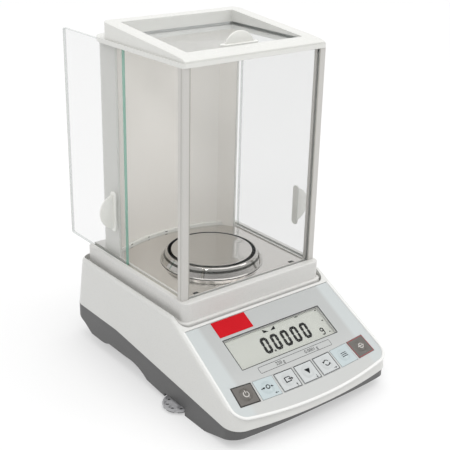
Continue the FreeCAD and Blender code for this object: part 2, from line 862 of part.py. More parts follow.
def fin_plan():
    """Half-moon grip drawn in the plane across its door's way."""
    return D.fin_radius - D.fin_out


def side_handle(side, front, name):
    """Grip of a side door: a rounded bar on the pane with a half-moon fin."""
    face = (D.door_x + D.door_glass / 2) * side
    middle_y = front + D.handle_set_back
    top = face + D.handle_base * side
    low, high = (top, face) if side < 0 else (face, top)
    bar = box(low, high, middle_y - D.handle_wide / 2, middle_y + D.handle_wide / 2,
              D.handle_z - D.handle_tall / 2, D.handle_z + D.handle_tall / 2)
    ends = lambda a, m, b: abs(a.z - b.z) < 0.01 and abs(a.y - b.y) < 0.01
    bar = rounded(bar, 4.2, ends)
    disc = doc.addObject("Part::Cylinder", "Disc")
    disc.Placement.Rotation = FreeCAD.Rotation(Vector(1, 0, 0), -90)
    bind(disc, "Radius", D.fin_radius)
    bind(disc, "Height", D.fin_thick)
    place(disc, top - fin_plan() * side, middle_y - D.fin_thick / 2, D.handle_z)
    inner = face + 0.5 * side
    edge = inner - 60.0 * side
    low, high = (inner, edge) if side < 0 else (edge, inner)
    fin = cut(disc, box(low, high, middle_y - 5.0, middle_y + 5.0, D.handle_z - 30.0,
                        D.handle_z + 30.0))
    return node(fuse(bar, fin), name)


def side_doors():
    """Left door open, right door shut."""
    door_glass(-1.0, D.door_open_y, "left_door_glass")
    side_handle(-1.0, D.door_open_y, "left_door_handle")
    door_glass(1.0, D.door_shut_y, "right_door_glass")
    side_handle(1.0, D.door_shut_y, "right_door_handle")


def top_door():
    """Sliding top pane with its upright grip."""
    low = D.lintel_z + D.lintel_thick + 0.3
    high = low + D.glass
    pane = box(-D.lid_half, D.lid_half, D.lid_front_y, D.lid_rear_y, low, high)
    node(rounded(pane, 2.0, upright), "top_door_glass")
    bar = box(-D.handle_tall / 2, D.handle_tall / 2, D.lid_handle_y - D.handle_wide / 2,
              D.lid_handle_y + D.handle_wide / 2, high, high + 1.6)
    bar = rounded(bar, 4.2, upright)
    disc = doc.addObject("Part::Cylinder", "Disc")
    disc.Placement.Rotation = FreeCAD.Rotation(Vector(1, 0, 0), -90)
    bind(disc, "Radius", D.fin_radius)
    bind(disc, "Height", D.fin_thick)
    place(disc, ZERO, D.lid_handle_y - D.fin_thick / 2, D.bezel_rear_z - 0.4 - D.fin_radius)
    below = box(ZERO - 30.0, ZERO + 30.0, D.lid_handle_y - 5.0, D.lid_handle_y + 5.0,
                ZERO + 300.0, high + 0.5)
    node(fuse(bar, cut(disc, below)), "top_door_handle")


# ------------------------------------------------------------ weighing pieces

def floor_plate():
    """Stainless floor plate with a round opening and two front notches."""
    arc = D.wall_radius - 3.9
    rear = wall_bow(arc)
    plan = [(-80.8, -49.0), (80.8, -49.0), (80.8, 67.5), (D.wall_arc_half, rear - 2.0),
            (-D.wall_arc_half, rear - 2.0), (-80.8, 67.5)]
    plate = prism("XY_Plane", plan, D.plate_thick, {3: (arc, 1)}, lift=D.floor_z)
    holes = [rod(ZERO, D.pan_y, ZERO + 100.0, ZERO + 120.0, D.pan_radius + 1.0)]
    for side in foot_spots():
        holes.append(box(ZERO + 65.6 * side - 3.5, ZERO + 65.6 * side + 3.5, ZERO - 50.0,
                         ZERO - 46.4, ZERO + 100.0, ZERO + 120.0))
    return node(cut(plate, *holes), "floor_plate")


def draft_ring():
    """Conical ring around the pan."""
    foot = D.floor_z + D.plate_thick
    points = [(D.ring_inner, foot), (D.ring_foot, foot), (D.ring_foot, foot + 0.8),
              (D.ring_top, D.ring_top_z - 0.8), (D.ring_inner + 0.9, D.ring_top_z),
              (D.ring_inner, D.ring_top_z - 0.9)]
    return node(turned(points, ZERO, D.pan_y, {3: (2.0, 1)}), "draft_ring")


def weighing_pan():
    """Round pan: a disc with a turned edge on a hub bored for the carrier's pin."""
    low = D.pan_top_z - D.pan_thick
    points = [(D.pin_radius + 0.05, D.hub_low_z), (D.hub_radius, D.hub_low_z),
              (D.hub_radius, low - 5.0), (D.hub_radius + 9.0, low),
              (D.pan_radius - 0.5, low), (D.pan_radius, low + 0.5),
              (D.pan_radius, D.pan_top_z - 0.3), (D.pan_radius - 0.4, D.pan_top_z),
              (Size.of(0), D.pan_top_z), (Size.of(0), D.pin_top_z), (D.pin_radius + 0.05, D.pin_top_z)]
    return node(turned(points, ZERO, D.pan_y), "weighing_pan")


def dust_collar():
    """Collar that keeps dust out of the casing around the carrier's pin."""
    tube = rod(ZERO, D.pan_y, D.recess_z, D.recess_z + 6.0, ZERO + 14.0)
    hole = rod(ZERO, D.pan_y, D.recess_z - 1.0, D.recess_z + 10.0, ZERO + 8.0)
    return node(cut(tube, hole), "dust_collar")


def pan_carrier():
    """Carrier with the pan's pin, and the link that stands under the beam's end."""
    block = box(ZERO - 8.0, ZERO + 8.0, D.pan_y - 6.0, D.pan_y + 5.0, ZERO + 32.0, ZERO + 76.0)
    pin = rod(ZERO, D.pan_y, ZERO + 76.0, D.pin_top_z, D.pin_radius)
    toe = box(ZERO - 5.0, ZERO + 5.0, D.pan_y + 5.0, D.pan_y + 13.0, ZERO + 32.0, ZERO + 38.0)
    link = box(ZERO - 4.0, ZERO + 4.0, D.pan_y + 9.0, D.pan_y + 11.0, ZERO + 38.0, D.beam_z - 0.3)
    return node(fuse(block, pin, toe, link), "pan_carrier")


def weighing_cell():
    """Cell frame, guides, pivot, beam, coil, magnet and position sensor."""
    top = D.cell_floor_z + D.cell_plate
    plate = box(ZERO - 28.0, ZERO + 28.0, ZERO + 34.0, ZERO + 115.0, D.cell_floor_z, top)
    tower = box(ZERO - 24.0, ZERO + 24.0, ZERO + 38.0, ZERO + 52.0, top, ZERO + 80.0)
    window = box(ZERO - 7.0, ZERO + 7.0, ZERO + 30.0, ZERO + 60.0, ZERO + 63.0, ZERO + 75.0)
    node(cut(fuse(plate, tower), window), "cell_frame")
    strips = []
    for low in (33.0, 74.6):
        for side in foot_spots():
            strips.append(box(ZERO + 15.0 * side - 6.5, ZERO + 15.0 * side + 6.5,
                              D.pan_y + 5.6, ZERO + 38.0, ZERO + low, ZERO + low + 0.8))
    node(fuse(*strips), "guide_flexures")
    pivots = []
    for side in foot_spots():
        pivots.append(box(ZERO + 6.3 * side - 0.7, ZERO + 6.3 * side + 0.7, D.pivot_y - 0.3,
                          D.pivot_y + 0.3, ZERO + 63.0, ZERO + 75.0))
    node(fuse(*pivots), "pivot_flexures")
    beam = box(ZERO - 5.0, ZERO + 5.0, D.pan_y + 7.6, D.magnet_y, D.beam_z, D.beam_z + D.beam_tall)
    vane = box(ZERO - 2.0, ZERO + 2.0, D.magnet_y, ZERO + 113.0, D.beam_z + 2.0, D.beam_z + 3.0)
    node(fuse(beam, vane), "balance_beam")
    former = rod(ZERO, D.magnet_y, D.beam_z - 2.6, D.beam_z, ZERO + 15.4)
    sleeve = cut(rod(ZERO, D.magnet_y, ZERO + 48.0, D.beam_z - 2.6, ZERO + 15.4),
                 rod(ZERO, D.magnet_y, ZERO + 47.0, D.beam_z, ZERO + 13.4))
    node(fuse(former, sleeve), "force_coil")
    pot = cut(rod(ZERO, D.magnet_y, top, ZERO + 61.0, D.magnet_radius),
              cut(rod(ZERO, D.magnet_y, ZERO + 44.0, ZERO + 62.0, ZERO + 17.0),
                  rod(ZERO, D.magnet_y, ZERO + 40.0, ZERO + 61.0, ZERO + 11.8)))
    node(pot, "magnet_pot")
    sensor = cut(box(ZERO - 9.0, ZERO + 9.0, ZERO + 108.0, ZERO + 118.0, ZERO + 61.0, ZERO + 78.0),
                 box(ZERO - 4.0, ZERO + 4.0, ZERO + 100.0, ZERO + 115.5, ZERO + 64.0, ZERO + 73.0))
    node(sensor, "position_sensor")


def electronics():
    """Main board on its pillars, power inlet, data port and their parts."""
    board = box(ZERO - 96.0, ZERO - 36.0, ZERO + 10.0, ZERO + 108.0, ZERO + 32.0, ZERO + 33.6)
    node(fuse(board, box(ZERO - 90.0, ZERO - 80.0, ZERO + 20.0, ZERO + 40.0, ZERO + 33.6,
                         ZERO + 34.0)), "main_board")
    parts = [box(ZERO - 84.0, ZERO - 66.0, ZERO + 58.0, ZERO + 76.0, ZERO + 33.6, ZERO + 36.0),
             box(ZERO - 60.0, ZERO - 42.0, ZERO + 20.0, ZERO + 34.0, ZERO + 33.6, ZERO + 45.6),
             box(ZERO - 60.0, ZERO - 46.0, ZERO + 44.0, ZERO + 52.0, ZERO + 33.6, ZERO + 35.4),
             rod(ZERO - 52.0, ZERO + 92.0, ZERO + 33.6, ZERO + 50.0, ZERO + 6.0)]
    node(fuse(*parts), "board_components")
    pillars = []
    for x in (-92.0, -40.0):
        for y, foot in ((56.0, D.arch_z), (93.0, D.rear_foot_z)):
            pillars.append(rod(ZERO + x, ZERO + y, foot + 2.5, ZERO + 32.0, ZERO + 3.0))
    node(fuse(*pillars), "board_pillars")
    shell = box(ZERO - 66.9, ZERO - 53.1, ZERO + 124.0, ZERO + 136.4, ZERO + 52.1, ZERO + 63.9)
    bore = doc.addObject("Part::Cylinder", "Bore")
    bore.Placement.Rotation = FreeCAD.Rotation(Vector(1, 0, 0), -90)
    bore.Radius = 3.2
    bore.Height = 30
    place(bore, ZERO - 60.0, ZERO + 127.0, ZERO + 58.0)
    node(cut(shell, bore), "power_inlet")
    flange = box(ZERO + 34.6, ZERO + 65.4, ZERO + 130.6, ZERO + 132.2, ZERO + 51.8, ZERO + 64.2)
    shroud = rounded(box(ZERO + 41.8, ZERO + 58.2, ZERO + 120.0, ZERO + 141.5, ZERO + 54.1,
                         ZERO + 61.9), 2.4,
                     lambda a, m, b: abs(a.x - b.x) < 0.01 and abs(a.z - b.z) < 0.01)
    node(fuse(flange, shroud), "data_port")


# --------------------------------------------------------------- small pieces

def feet():
    """Levelling feet with their pads and inserts, and the rear feet."""
    inserts = []
    for side, name in ((-1.0, "left"), (1.0, "right")):
        x = D.foot_x * side
        y = D.foot_y
        high = D.wheel_low_z + D.wheel_tall
        wheel = rod(x, y, D.wheel_low_z, high, D.wheel_radius)
        wheel = rounded(wheel, 1.0, lambda a, m, b: abs(m.z - DIMENSIONS["wheel_low_z"]
                                                        - DIMENSIONS["wheel_tall"]) < 0.01)
        pockets = []
        for step in range(8):
            angle = math.radians(45 * step + 22.5)
            pockets.append(cone(x + 12.4 * math.cos(angle), y + 12.4 * math.sin(angle),
                                D.wheel_low_z + 1.6, high + 1.0, ZERO + 3.0, ZERO + 4.2))
        collar = cone(x, y, high - 0.5, D.foot_hub_z, ZERO + 8.0, ZERO + 6.0)
        stem = rod(x, y, high, D.stem_top_z, D.stem_radius)
        node(fuse(cut(wheel, *pockets), collar, stem), name + "_foot_wheel")
        node(rod(x, y, ZERO, D.wheel_low_z, ZERO + 11.0), name + "_foot_pad")
        inserts.append(cut(rod(x, y, ZERO + 11.0, ZERO + 29.0, D.insert_radius),
                           rod(x, y, ZERO + 10.0, ZERO + 30.0, D.stem_radius + 0.05)))
    node(fuse(*inserts), "foot_inserts")
    rear = []
    for side in foot_spots():
        rear.append(cone(D.rear_foot_x * side, D.rear_foot_y, ZERO, D.rear_foot_z,
                         ZERO + 8.0, ZERO + 10.0))
    node(fuse(*rear), "rear_feet")


def level_and_screws():
    """Bubble level behind the column and the casing's screws."""
    x = ZERO + 40.0
    y = ZERO + 119.3
    cup = cut(rod(x, y, D.rim_z - 2.0, D.rim_z + 3.0, ZERO + 5.9),
              rod(x, y, D.rim_z - 0.5, D.rim_z + 4.0, ZERO + 4.9))
    node(cup, "level_cup")
    node(rounded(rod(x, y, D.rim_z - 0.5, D.rim_z + 3.0, ZERO + 4.9), 1.0,
                 lambda a, m, b: m.z > DIMENSIONS["rim_z"] + 2.9), "level_vial")
    screws = []
    for x, y, under_head, seam in screw_spots():
        head = rod(x, y, under_head - 2.0, under_head, D.screw_head)
        screws.append(fuse(head, rod(x, y, under_head, seam + 10.0, D.screw_radius)))
    node(fuse(*screws), "casing_screws")


# -------------------------------------------------------------------- build

def build():
    """Make every sub-part."""
    base_pan()
    top_casing()
    overlay()
    keys()
    panel_pieces()
    shield_base()
    glide_strips()
    posts()
    front_glass()
    curved_wall()
    column_cover()
    top_frame()
    top_bezel()
    side_doors()
    top_door()
    floor_plate()
    draft_ring()
    weighing_pan()
    dust_collar()
    pan_carrier()
    weighing_cell()
    electronics()
    feet()
    level_and_screws()
    doc.recompute()


def check():
    """Stop on a failed object or a sub-part that isn't a valid solid."""
    for item in doc.Objects:
        if "Invalid" in item.State or "Error" in item.State:
            raise RuntimeError("failed object: " + item.Name + " " + item.Label)
    for item in nodes:
        shape = item.Shape
        if shape.isNull() or not shape.isValid() or not shape.Solids:
            raise RuntimeError("bad shape: " + item.Label)


def export():
    """Write each sub-part to its own STEP file."""
    os.makedirs("parts", exist_ok=True)
    for item in nodes:
        item.Shape.exportStep(os.path.join("parts", item.Label + ".step"))
        box_of = item.Shape.BoundBox
        print(item.Label, len(item.Shape.Solids), "solids", round(item.Shape.Volume, 1), "mm3",
              [round(v, 1) for v in (box_of.XMin, box_of.XMax, box_of.YMin, box_of.YMax,
                                     box_of.ZMin, box_of.ZMax)])


build()
check()
export()
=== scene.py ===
"""Looks of a laboratory analytical balance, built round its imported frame."""

import json
import logging
import math
from collections.abc import Callable, Iterator
from contextlib import contextmanager
from dataclasses import dataclass, field
from enum import Enum

import bmesh
import bpy
from mathutils import Matrix, Vector


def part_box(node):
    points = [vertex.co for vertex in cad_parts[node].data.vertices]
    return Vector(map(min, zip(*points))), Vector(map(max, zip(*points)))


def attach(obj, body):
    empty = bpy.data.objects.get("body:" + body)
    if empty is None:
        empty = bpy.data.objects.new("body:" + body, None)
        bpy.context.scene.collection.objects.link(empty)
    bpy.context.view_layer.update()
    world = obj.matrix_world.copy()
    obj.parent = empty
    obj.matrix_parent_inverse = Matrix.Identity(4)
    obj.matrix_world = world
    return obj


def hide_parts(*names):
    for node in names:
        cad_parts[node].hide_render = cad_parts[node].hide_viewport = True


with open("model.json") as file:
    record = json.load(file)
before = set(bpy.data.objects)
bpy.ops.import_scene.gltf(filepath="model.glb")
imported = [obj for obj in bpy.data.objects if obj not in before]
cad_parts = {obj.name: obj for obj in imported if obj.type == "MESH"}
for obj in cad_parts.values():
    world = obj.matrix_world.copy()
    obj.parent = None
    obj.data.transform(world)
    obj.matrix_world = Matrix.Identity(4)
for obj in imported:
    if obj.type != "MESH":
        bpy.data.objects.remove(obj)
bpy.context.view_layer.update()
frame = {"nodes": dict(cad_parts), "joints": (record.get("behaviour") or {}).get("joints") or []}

MM = 0.001
SMOOTH_ANGLE = math.radians(32)
LOG = logging.getLogger("balance")

Piece = bpy.types.Object
Material = bpy.types.Material
Point = tuple[float, float, float]


# ------------------------------------------------------------------ modelling

def mm(*values: float) -> Vector:
    """Vector in metres from millimetres."""
    return Vector(value * MM for value in values)


def take(*chosen: Piece) -> Piece:
    """Select only the given pieces and make the first one active.

    Args:
        chosen: Pieces to select.

    Returns:
        The active piece.
    """
    bpy.ops.object.select_all(action="DESELECT")
    for piece in chosen:
        piece.select_set(True)
    bpy.context.view_layer.objects.active = chosen[0]
    return chosen[0]


def settled() -> None:
    """Apply the active piece's place, turn and scale to its mesh."""
    bpy.ops.object.transform_apply(location=True, rotation=True, scale=True)


def named(name: str) -> Piece:
    """Name the object that was just added, and its mesh."""
    piece = bpy.context.object
    piece.name = name
    piece.data.name = name
    return take(piece)


@contextmanager
def editing(piece: Piece, kind: str = "FACE", start: str = "DESELECT") -> Iterator[None]:
    """Edit mode on one piece.

    Args:
        piece: Piece to edit.
        kind: Selection mode, VERT, EDGE or FACE.
        start: DESELECT to start with nothing selected, SELECT with all of it.
    """
    take(piece)
    bpy.ops.object.mode_set(mode="EDIT")
    bpy.ops.mesh.select_mode(type=kind)
    bpy.ops.mesh.select_all(action=start)
    yield
    bpy.ops.object.mode_set(mode="OBJECT")


def pick_edges(piece: Piece, test: Callable[[Vector, Vector], bool]) -> None:
    """Select the edges whose two ends pass a test, in edit mode."""
    mesh = bmesh.from_edit_mesh(piece.data)
    for edge in mesh.edges:
        edge.select_set(test(edge.verts[0].co, edge.verts[1].co))
    bmesh.update_edit_mesh(piece.data)


def pick_points(piece: Piece, test: Callable[[Vector], bool]) -> None:
    """Select the vertices that pass a test, in edit mode."""
    mesh = bmesh.from_edit_mesh(piece.data)
    for vertex in mesh.verts:
        vertex.select_set(test(vertex.co))
    mesh.select_flush_mode()
    bmesh.update_edit_mesh(piece.data)


def block(name: str, low: Vector, high: Vector) -> Piece:
    """Cube between two corners."""
    bpy.ops.mesh.primitive_cube_add(size=1, location=(low + high) / 2, scale=high - low)
    piece = named(name)
    settled()
    return piece


def sheet(name: str, centre: Vector, wide: float, tall: float, turn: float = 0.0) -> Piece:
    """Flat rectangle in the plane of X and Y."""
    bpy.ops.mesh.primitive_plane_add(size=1, location=centre, rotation=(0, 0, turn))
    piece = named(name)
    piece.scale = (wide, tall, 1)
    settled()
    return piece


def drum(name: str, centre: Vector, radius: float, tall: float, sides: int = 64,
         lie: tuple[float, float, float] = (0, 0, 0)) -> Piece:
    """Cylinder about its centre, turned by lie."""
    bpy.ops.mesh.primitive_cylinder_add(vertices=sides, radius=radius, depth=tall,
                                        location=centre, rotation=lie)
    piece = named(name)
    settled()
    return piece


def bevelled(piece: Piece, width: float, segments: int = 3,
             test: Callable[[Vector, Vector], bool] | None = None) -> Piece:
    """Round a piece's edges.

    Args:
        piece: Piece to round.
        width: Width of the rounding.
        segments: Steps across the rounding.
        test: Picks edges by their two ends; without it, every sharp edge is rounded.

    Returns:
        The same piece.
    """
    if test is None:
        modifier = piece.modifiers.new("Round", "BEVEL")
        modifier.width = width
        modifier.segments = segments
        modifier.limit_method = "ANGLE"
        modifier.angle_limit = SMOOTH_ANGLE
        return applied(piece)
    with editing(piece, "EDGE"):
        pick_edges(piece, test)
        bpy.ops.mesh.bevel(offset=width, segments=segments, affect="EDGES", clamp_overlap=True)
    return piece


def applied(piece: Piece) -> Piece:
    """Apply all of a piece's modifiers."""
    take(piece)
    for modifier in list(piece.modifiers):
        bpy.ops.object.modifier_apply(modifier=modifier.name)
    return piece


def thickened(piece: Piece, thick: float) -> Piece:
    """Give a flat piece a thickness, half of it to each side."""
    solid = piece.modifiers.new("Thickness", "SOLIDIFY")
    solid.thickness = thick
    solid.offset = 0
    return applied(piece)


def cleaned(piece: Piece) -> Piece:
    """Merge a flat piece's doubled points and turn its faces one way."""
    with editing(piece, "FACE", "SELECT"):
        bpy.ops.mesh.remove_doubles(threshold=1e-7)
        bpy.ops.mesh.normals_make_consistent(inside=False)
    return piece


def combined(piece: Piece, tool: Piece, how: str) -> Piece:
    """Boolean of two pieces; the tool is used up.

    Args:
        piece: Piece that stays.
        tool: Piece that is joined on or cut away.
        how: UNION or DIFFERENCE.

    Returns:
        The piece that stays.
    """
    modifier = piece.modifiers.new("Combine", "BOOLEAN")
    modifier.operation = how
    modifier.object = tool
    modifier.solver = "EXACT"
    applied(piece)
    bpy.data.objects.remove(tool)
    return piece


def joined(name: str, pieces: list[Piece]) -> Piece:
    """Several pieces as one object."""
    take(*pieces)
    if len(pieces) > 1:
        bpy.ops.object.join()
    return named(name)


def moved(piece: Piece, matrix: Matrix) -> Piece:
    """Move a piece's mesh by a matrix, with its object left at the origin."""
    take(piece)
    piece.matrix_world = matrix
    settled()
    return piece


def lathe(name: str, centre: Vector, profile: list[tuple[float, float]], sides: int = 128,
          shut: bool = False) -> Piece:
    """Turned piece made by drawing one circle through a profile, ring by ring.

    Args:
        name: Name of the piece.
        centre: Point on the axis at height zero.
        profile: Radius and height of each ring.
        sides: Steps round the axis.
        shut: True joins the last ring to the first; False caps both ends.

    Returns:
        The turned piece.
    """
    radius, height = profile[0]
    bpy.ops.mesh.primitive_circle_add(vertices=sides, radius=radius, fill_type="NOTHING",
                                      location=centre + Vector((0, 0, height)))
    piece = named(name)
    settled()
    with editing(piece, "VERT", "SELECT"):
        if not shut:
            bpy.ops.mesh.edge_face_add()
        for wide, high in profile[1:] + (profile[:1] if shut else []):
            bpy.ops.mesh.extrude_region_move(
                TRANSFORM_OT_translate={"value": (0, 0, high - height)})
            spot = centre + Vector((0, 0, high))
            bpy.ops.transform.resize(value=(wide / radius, wide / radius, 1),
                                     center_override=spot)
            radius, height = wide, high
        if shut:
            bpy.ops.mesh.select_all(action="SELECT")
            bpy.ops.mesh.remove_doubles(threshold=1e-6)
        bpy.ops.mesh.select_all(action="SELECT")
        bpy.ops.mesh.normals_make_consistent(inside=False)
    return piece


def smoothed(piece: Piece, angle: float = SMOOTH_ANGLE) -> Piece:
    """Shade a piece smooth, with edges over an angle kept sharp."""
    take(piece)
    bpy.ops.object.shade_smooth_by_angle(angle=angle)
    return piece


def fitted(piece: Piece, body: str, finish: Material, slot: str, *stands_for: str) -> Piece:
    """Finish a piece: shade it, dress it, and put it on its body.

    Args:
        piece: Finished mesh.
        body: CAD body that it rides on.
        finish: Its material, unless it already has materials.
        slot: Material slot of the record; not used.
        stands_for: CAD nodes that it replaces.

    Returns:
        The same piece.
    """
    smoothed(piece)
    if not piece.data.materials:
        piece.data.materials.append(finish)
    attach(piece, body)
    if stands_for:
        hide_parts(*stands_for)
    LOG.info("%s: %d faces on %s", piece.name, len(piece.data.polygons), body)
    return piece


def dress(finish: Material, *nodes: str) -> None:
    """Give CAD nodes their finish."""
    for node in nodes:
        piece = frame["nodes"][node]
        if not piece.material_slots:
            piece.data.materials.append(finish)
        for slot in piece.material_slots:
            slot.material = finish
        LOG.info("%s: CAD node dressed in %s", node, finish.name)


# ------------------------------------------------------------------- finishes

def linear(colour: str) -> tuple[float, float, float, float]:
    """Linear colour from an sRGB hex value such as "#C0C0C0"."""
    parts = [int(colour[i:i + 2], 16) / 255 for i in (1, 3, 5)]
    bent = [p / 12.92 if p <= 0.04045 else ((p + 0.055) / 1.055) ** 2.4 for p in parts]
    return (*bent, 1.0)


def add_node(tree: bpy.types.NodeTree, kind: str, settings: dict | None = None,
             links: dict | None = None) -> bpy.types.Node:
    """Add one node with its settings and links.

    Args:
        tree: Node tree of the material or world.
        kind: Node type without its "ShaderNode" prefix.
        settings: Values of sockets, by name or number, and of properties.
        links: Output sockets that feed the node's inputs, by name or number.

    Returns:
        The new node.
    """
    node = tree.nodes.new("ShaderNode" + kind)
    for key, value in (settings or {}).items():
        if isinstance(key, int) or key in node.inputs:
            node.inputs[key].default_value = value
        else:
            setattr(node, key, value)
    for key, source in (links or {}).items():
        tree.links.new(source, node.inputs[key])
    return node


def blank(name: str) -> tuple[Material, bpy.types.NodeTree]:
    """New material with an empty node tree."""
    material = bpy.data.materials.new(name)
    material.use_nodes = True
    material.node_tree.nodes.clear()
    return material, material.node_tree


def surface(tree: bpy.types.NodeTree, settings: dict, links: dict) -> None:
    """End a tree in one Principled surface."""
    shader = add_node(tree, "BsdfPrincipled", settings, links)
    add_node(tree, "OutputMaterial", links={"Surface": shader.outputs[0]})


def pattern(tree: bpy.types.NodeTree, size: float, detail: float = 2.0,
            stretch: Point = (1, 1, 1), centre: Vector | None = None) -> bpy.types.NodeSocket:
    """Noise with features of a real size, on Object coordinates.

    Args:
        tree: Node tree to add to.
        size: Size of a feature in millimetres.
        detail: Octaves of noise.
        stretch: How often the pattern repeats along each axis, relative to size.
        centre: Point that the pattern starts from.

    Returns:
        The noise's factor.
    """
    place = add_node(tree, "TexCoord").outputs["Object"]
    shift = -(centre or Vector((0, 0, 0)))
    mapped = add_node(tree, "Mapping", {"Location": shift, "Scale": stretch}, {"Vector": place})
    noise = add_node(tree, "TexNoise", {"Scale": 1 / (size * MM), "Detail": detail},
                     {"Vector": mapped.outputs[0]})
    return noise.outputs["Fac"]


def between(tree: bpy.types.NodeTree, factor: bpy.types.NodeSocket, low: float,
            high: float) -> bpy.types.NodeSocket:
    """Spread the middle of a pattern between two values."""
    spread = add_node(tree, "MapRange", {"From Min": 0.3, "From Max": 0.7, "To Min": low,
                                         "To Max": high}, {"Value": factor})
    return spread.outputs[0]


def tinted(tree: bpy.types.NodeTree, factor: bpy.types.NodeSocket, first: str,
           second: str) -> bpy.types.NodeSocket:
    """Colour that a pattern varies between two hex values."""
    blend = add_node(tree, "Mix", {"data_type": "RGBA", "A": (0, 0, 0, 1)}, {0: factor})
    blend.inputs[6].default_value = linear(first)
    blend.inputs[7].default_value = linear(second)
    return blend.outputs[2]


def relief(tree: bpy.types.NodeTree, height: bpy.types.NodeSocket, depth: float,
           strength: float, edge: float = 0.0) -> bpy.types.NodeSocket:
    """Normal with a fine relief, and with edges softened by a small radius.

    Args:
        tree: Node tree to add to.
        height: Pattern that gives the relief.
        depth: Depth of the relief in millimetres.
        strength: Strength from 0 to 1.
        edge: Radius of the softened edges in millimetres.

    Returns:
        The normal.
    """
    bump = add_node(tree, "Bump", {"Strength": strength, "Distance": depth * MM},
                    {"Height": height})
    if edge:
        soft = add_node(tree, "Bevel", {"samples": 4, "Radius": edge * MM})
        tree.links.new(soft.outputs[0], bump.inputs["Normal"])
    return bump.outputs[0]


@dataclass(frozen=True)
class Moulded:
    """Injection-moulded ABS: an even colour with a fine spark-eroded grain."""

    name: str
    colour: str
    shade: str
    roughness: float = 0.42
    grain: float = 0.7
    depth: float = 0.02
    edge: float = 0.45

    def build(self) -> Material:
        """Make the material."""
        material, tree = blank(self.name)
        cloud = pattern(tree, 60.0, 3.0)
        grain = pattern(tree, self.grain, 3.0)
        colour = tinted(tree, cloud, self.colour, self.shade)
        rough = between(tree, grain, self.roughness - 0.04, self.roughness + 0.06)
        normal = relief(tree, grain, self.depth, 0.35, self.edge)
        surface(tree, {"IOR": 1.53},
                {"Base Color": colour, "Roughness": rough, "Normal": normal})
        return material


@dataclass(frozen=True)
class Metal:
    """Bare metal with brushing or rolling marks along one axis."""

    name: str
    colour: str
    roughness: float
    stretch: Point = (1, 1, 1)
    mark: float = 0.6
    depth: float = 0.004
    strength: float = 0.25

    def build(self) -> Material:
        """Make the material."""
        material, tree = blank(self.name)
        marks = pattern(tree, self.mark, 4.0, self.stretch)
        cloud = pattern(tree, 30.0, 2.0)
        rough = between(tree, cloud, self.roughness - 0.02, self.roughness + 0.03)
        normal = relief(tree, marks, self.depth, self.strength)
        surface(tree, {"Base Color": linear(self.colour), "Metallic": 1.0},
                {"Roughness": rough, "Normal": normal})
        return material


@dataclass(frozen=True)
class TurnedSteel:
    """Stainless steel turned on a lathe: fine rings about an upright axis."""

    name: str
    colour: str
    roughness: float
    centre: Vector
    ring: float = 0.9
    depth: float = 0.003

    def build(self) -> Material:
        """Make the material."""
        material, tree = blank(self.name)
        place = add_node(tree, "TexCoord").outputs["Object"]
        shift = Vector((-self.centre.x, -self.centre.y, 0))
        mapped = add_node(tree, "Mapping", {"Location": shift}, {"Vector": place})
        wave = add_node(tree, "TexWave", {"wave_type": "RINGS", "rings_direction": "Z",
                                          "Scale": 1 / (self.ring * MM) / 20,
                                          "Distortion": 0.4, "Detail": 3.0},
                        {"Vector": mapped.outputs[0]})
        cloud = pattern(tree, 25.0)
        rough = between(tree, cloud, self.roughness - 0.02, self.roughness + 0.03)
        normal = relief(tree, wave.outputs["Fac"], self.depth, 0.2)
        surface(tree, {"Base Color": linear(self.colour), "Metallic": 1.0},
                {"Roughness": rough, "Normal": normal})
        return material


@dataclass(frozen=True)
class Pane:
    """Float glass or clear acrylic: see-through, with a faint veil and sharp gloss."""

    name: str
    colour: str
    veil: float
    roughness: float = 0.02

    def build(self) -> Material:
        """Make the material."""
        material, tree = blank(self.name)
        dust = pattern(tree, 45.0, 4.0)
        rough = between(tree, dust, self.roughness, self.roughness + 0.03)
        surface(tree, {"Base Color": linear(self.colour), "Alpha": self.veil, "IOR": 1.52,
                       "Coat Weight": 0.3, "Coat Roughness": 0.02}, {"Roughness": rough})
        return material


@dataclass(frozen=True)
class Printed:
    """Screen-printed polyester film: a satin skin with a very fine tooth."""

    name: str
    colour: str
    shade: str
    roughness: float = 0.38
    gloss: float = 0.5
    tooth: float = 0.4

    def build(self) -> Material:
        """Make the material."""
        material, tree = blank(self.name)
        tooth = pattern(tree, self.tooth, 2.0)
        colour = tinted(tree, pattern(tree, 35.0), self.colour, self.shade)
        rough = between(tree, tooth, self.roughness, self.roughness + 0.08)
        normal = relief(tree, tooth, 0.01, 0.2, 0.2)
        surface(tree, {"IOR": 1.5, "Specular IOR Level": self.gloss},
                {"Base Color": colour, "Roughness": rough, "Normal": normal})
        return material


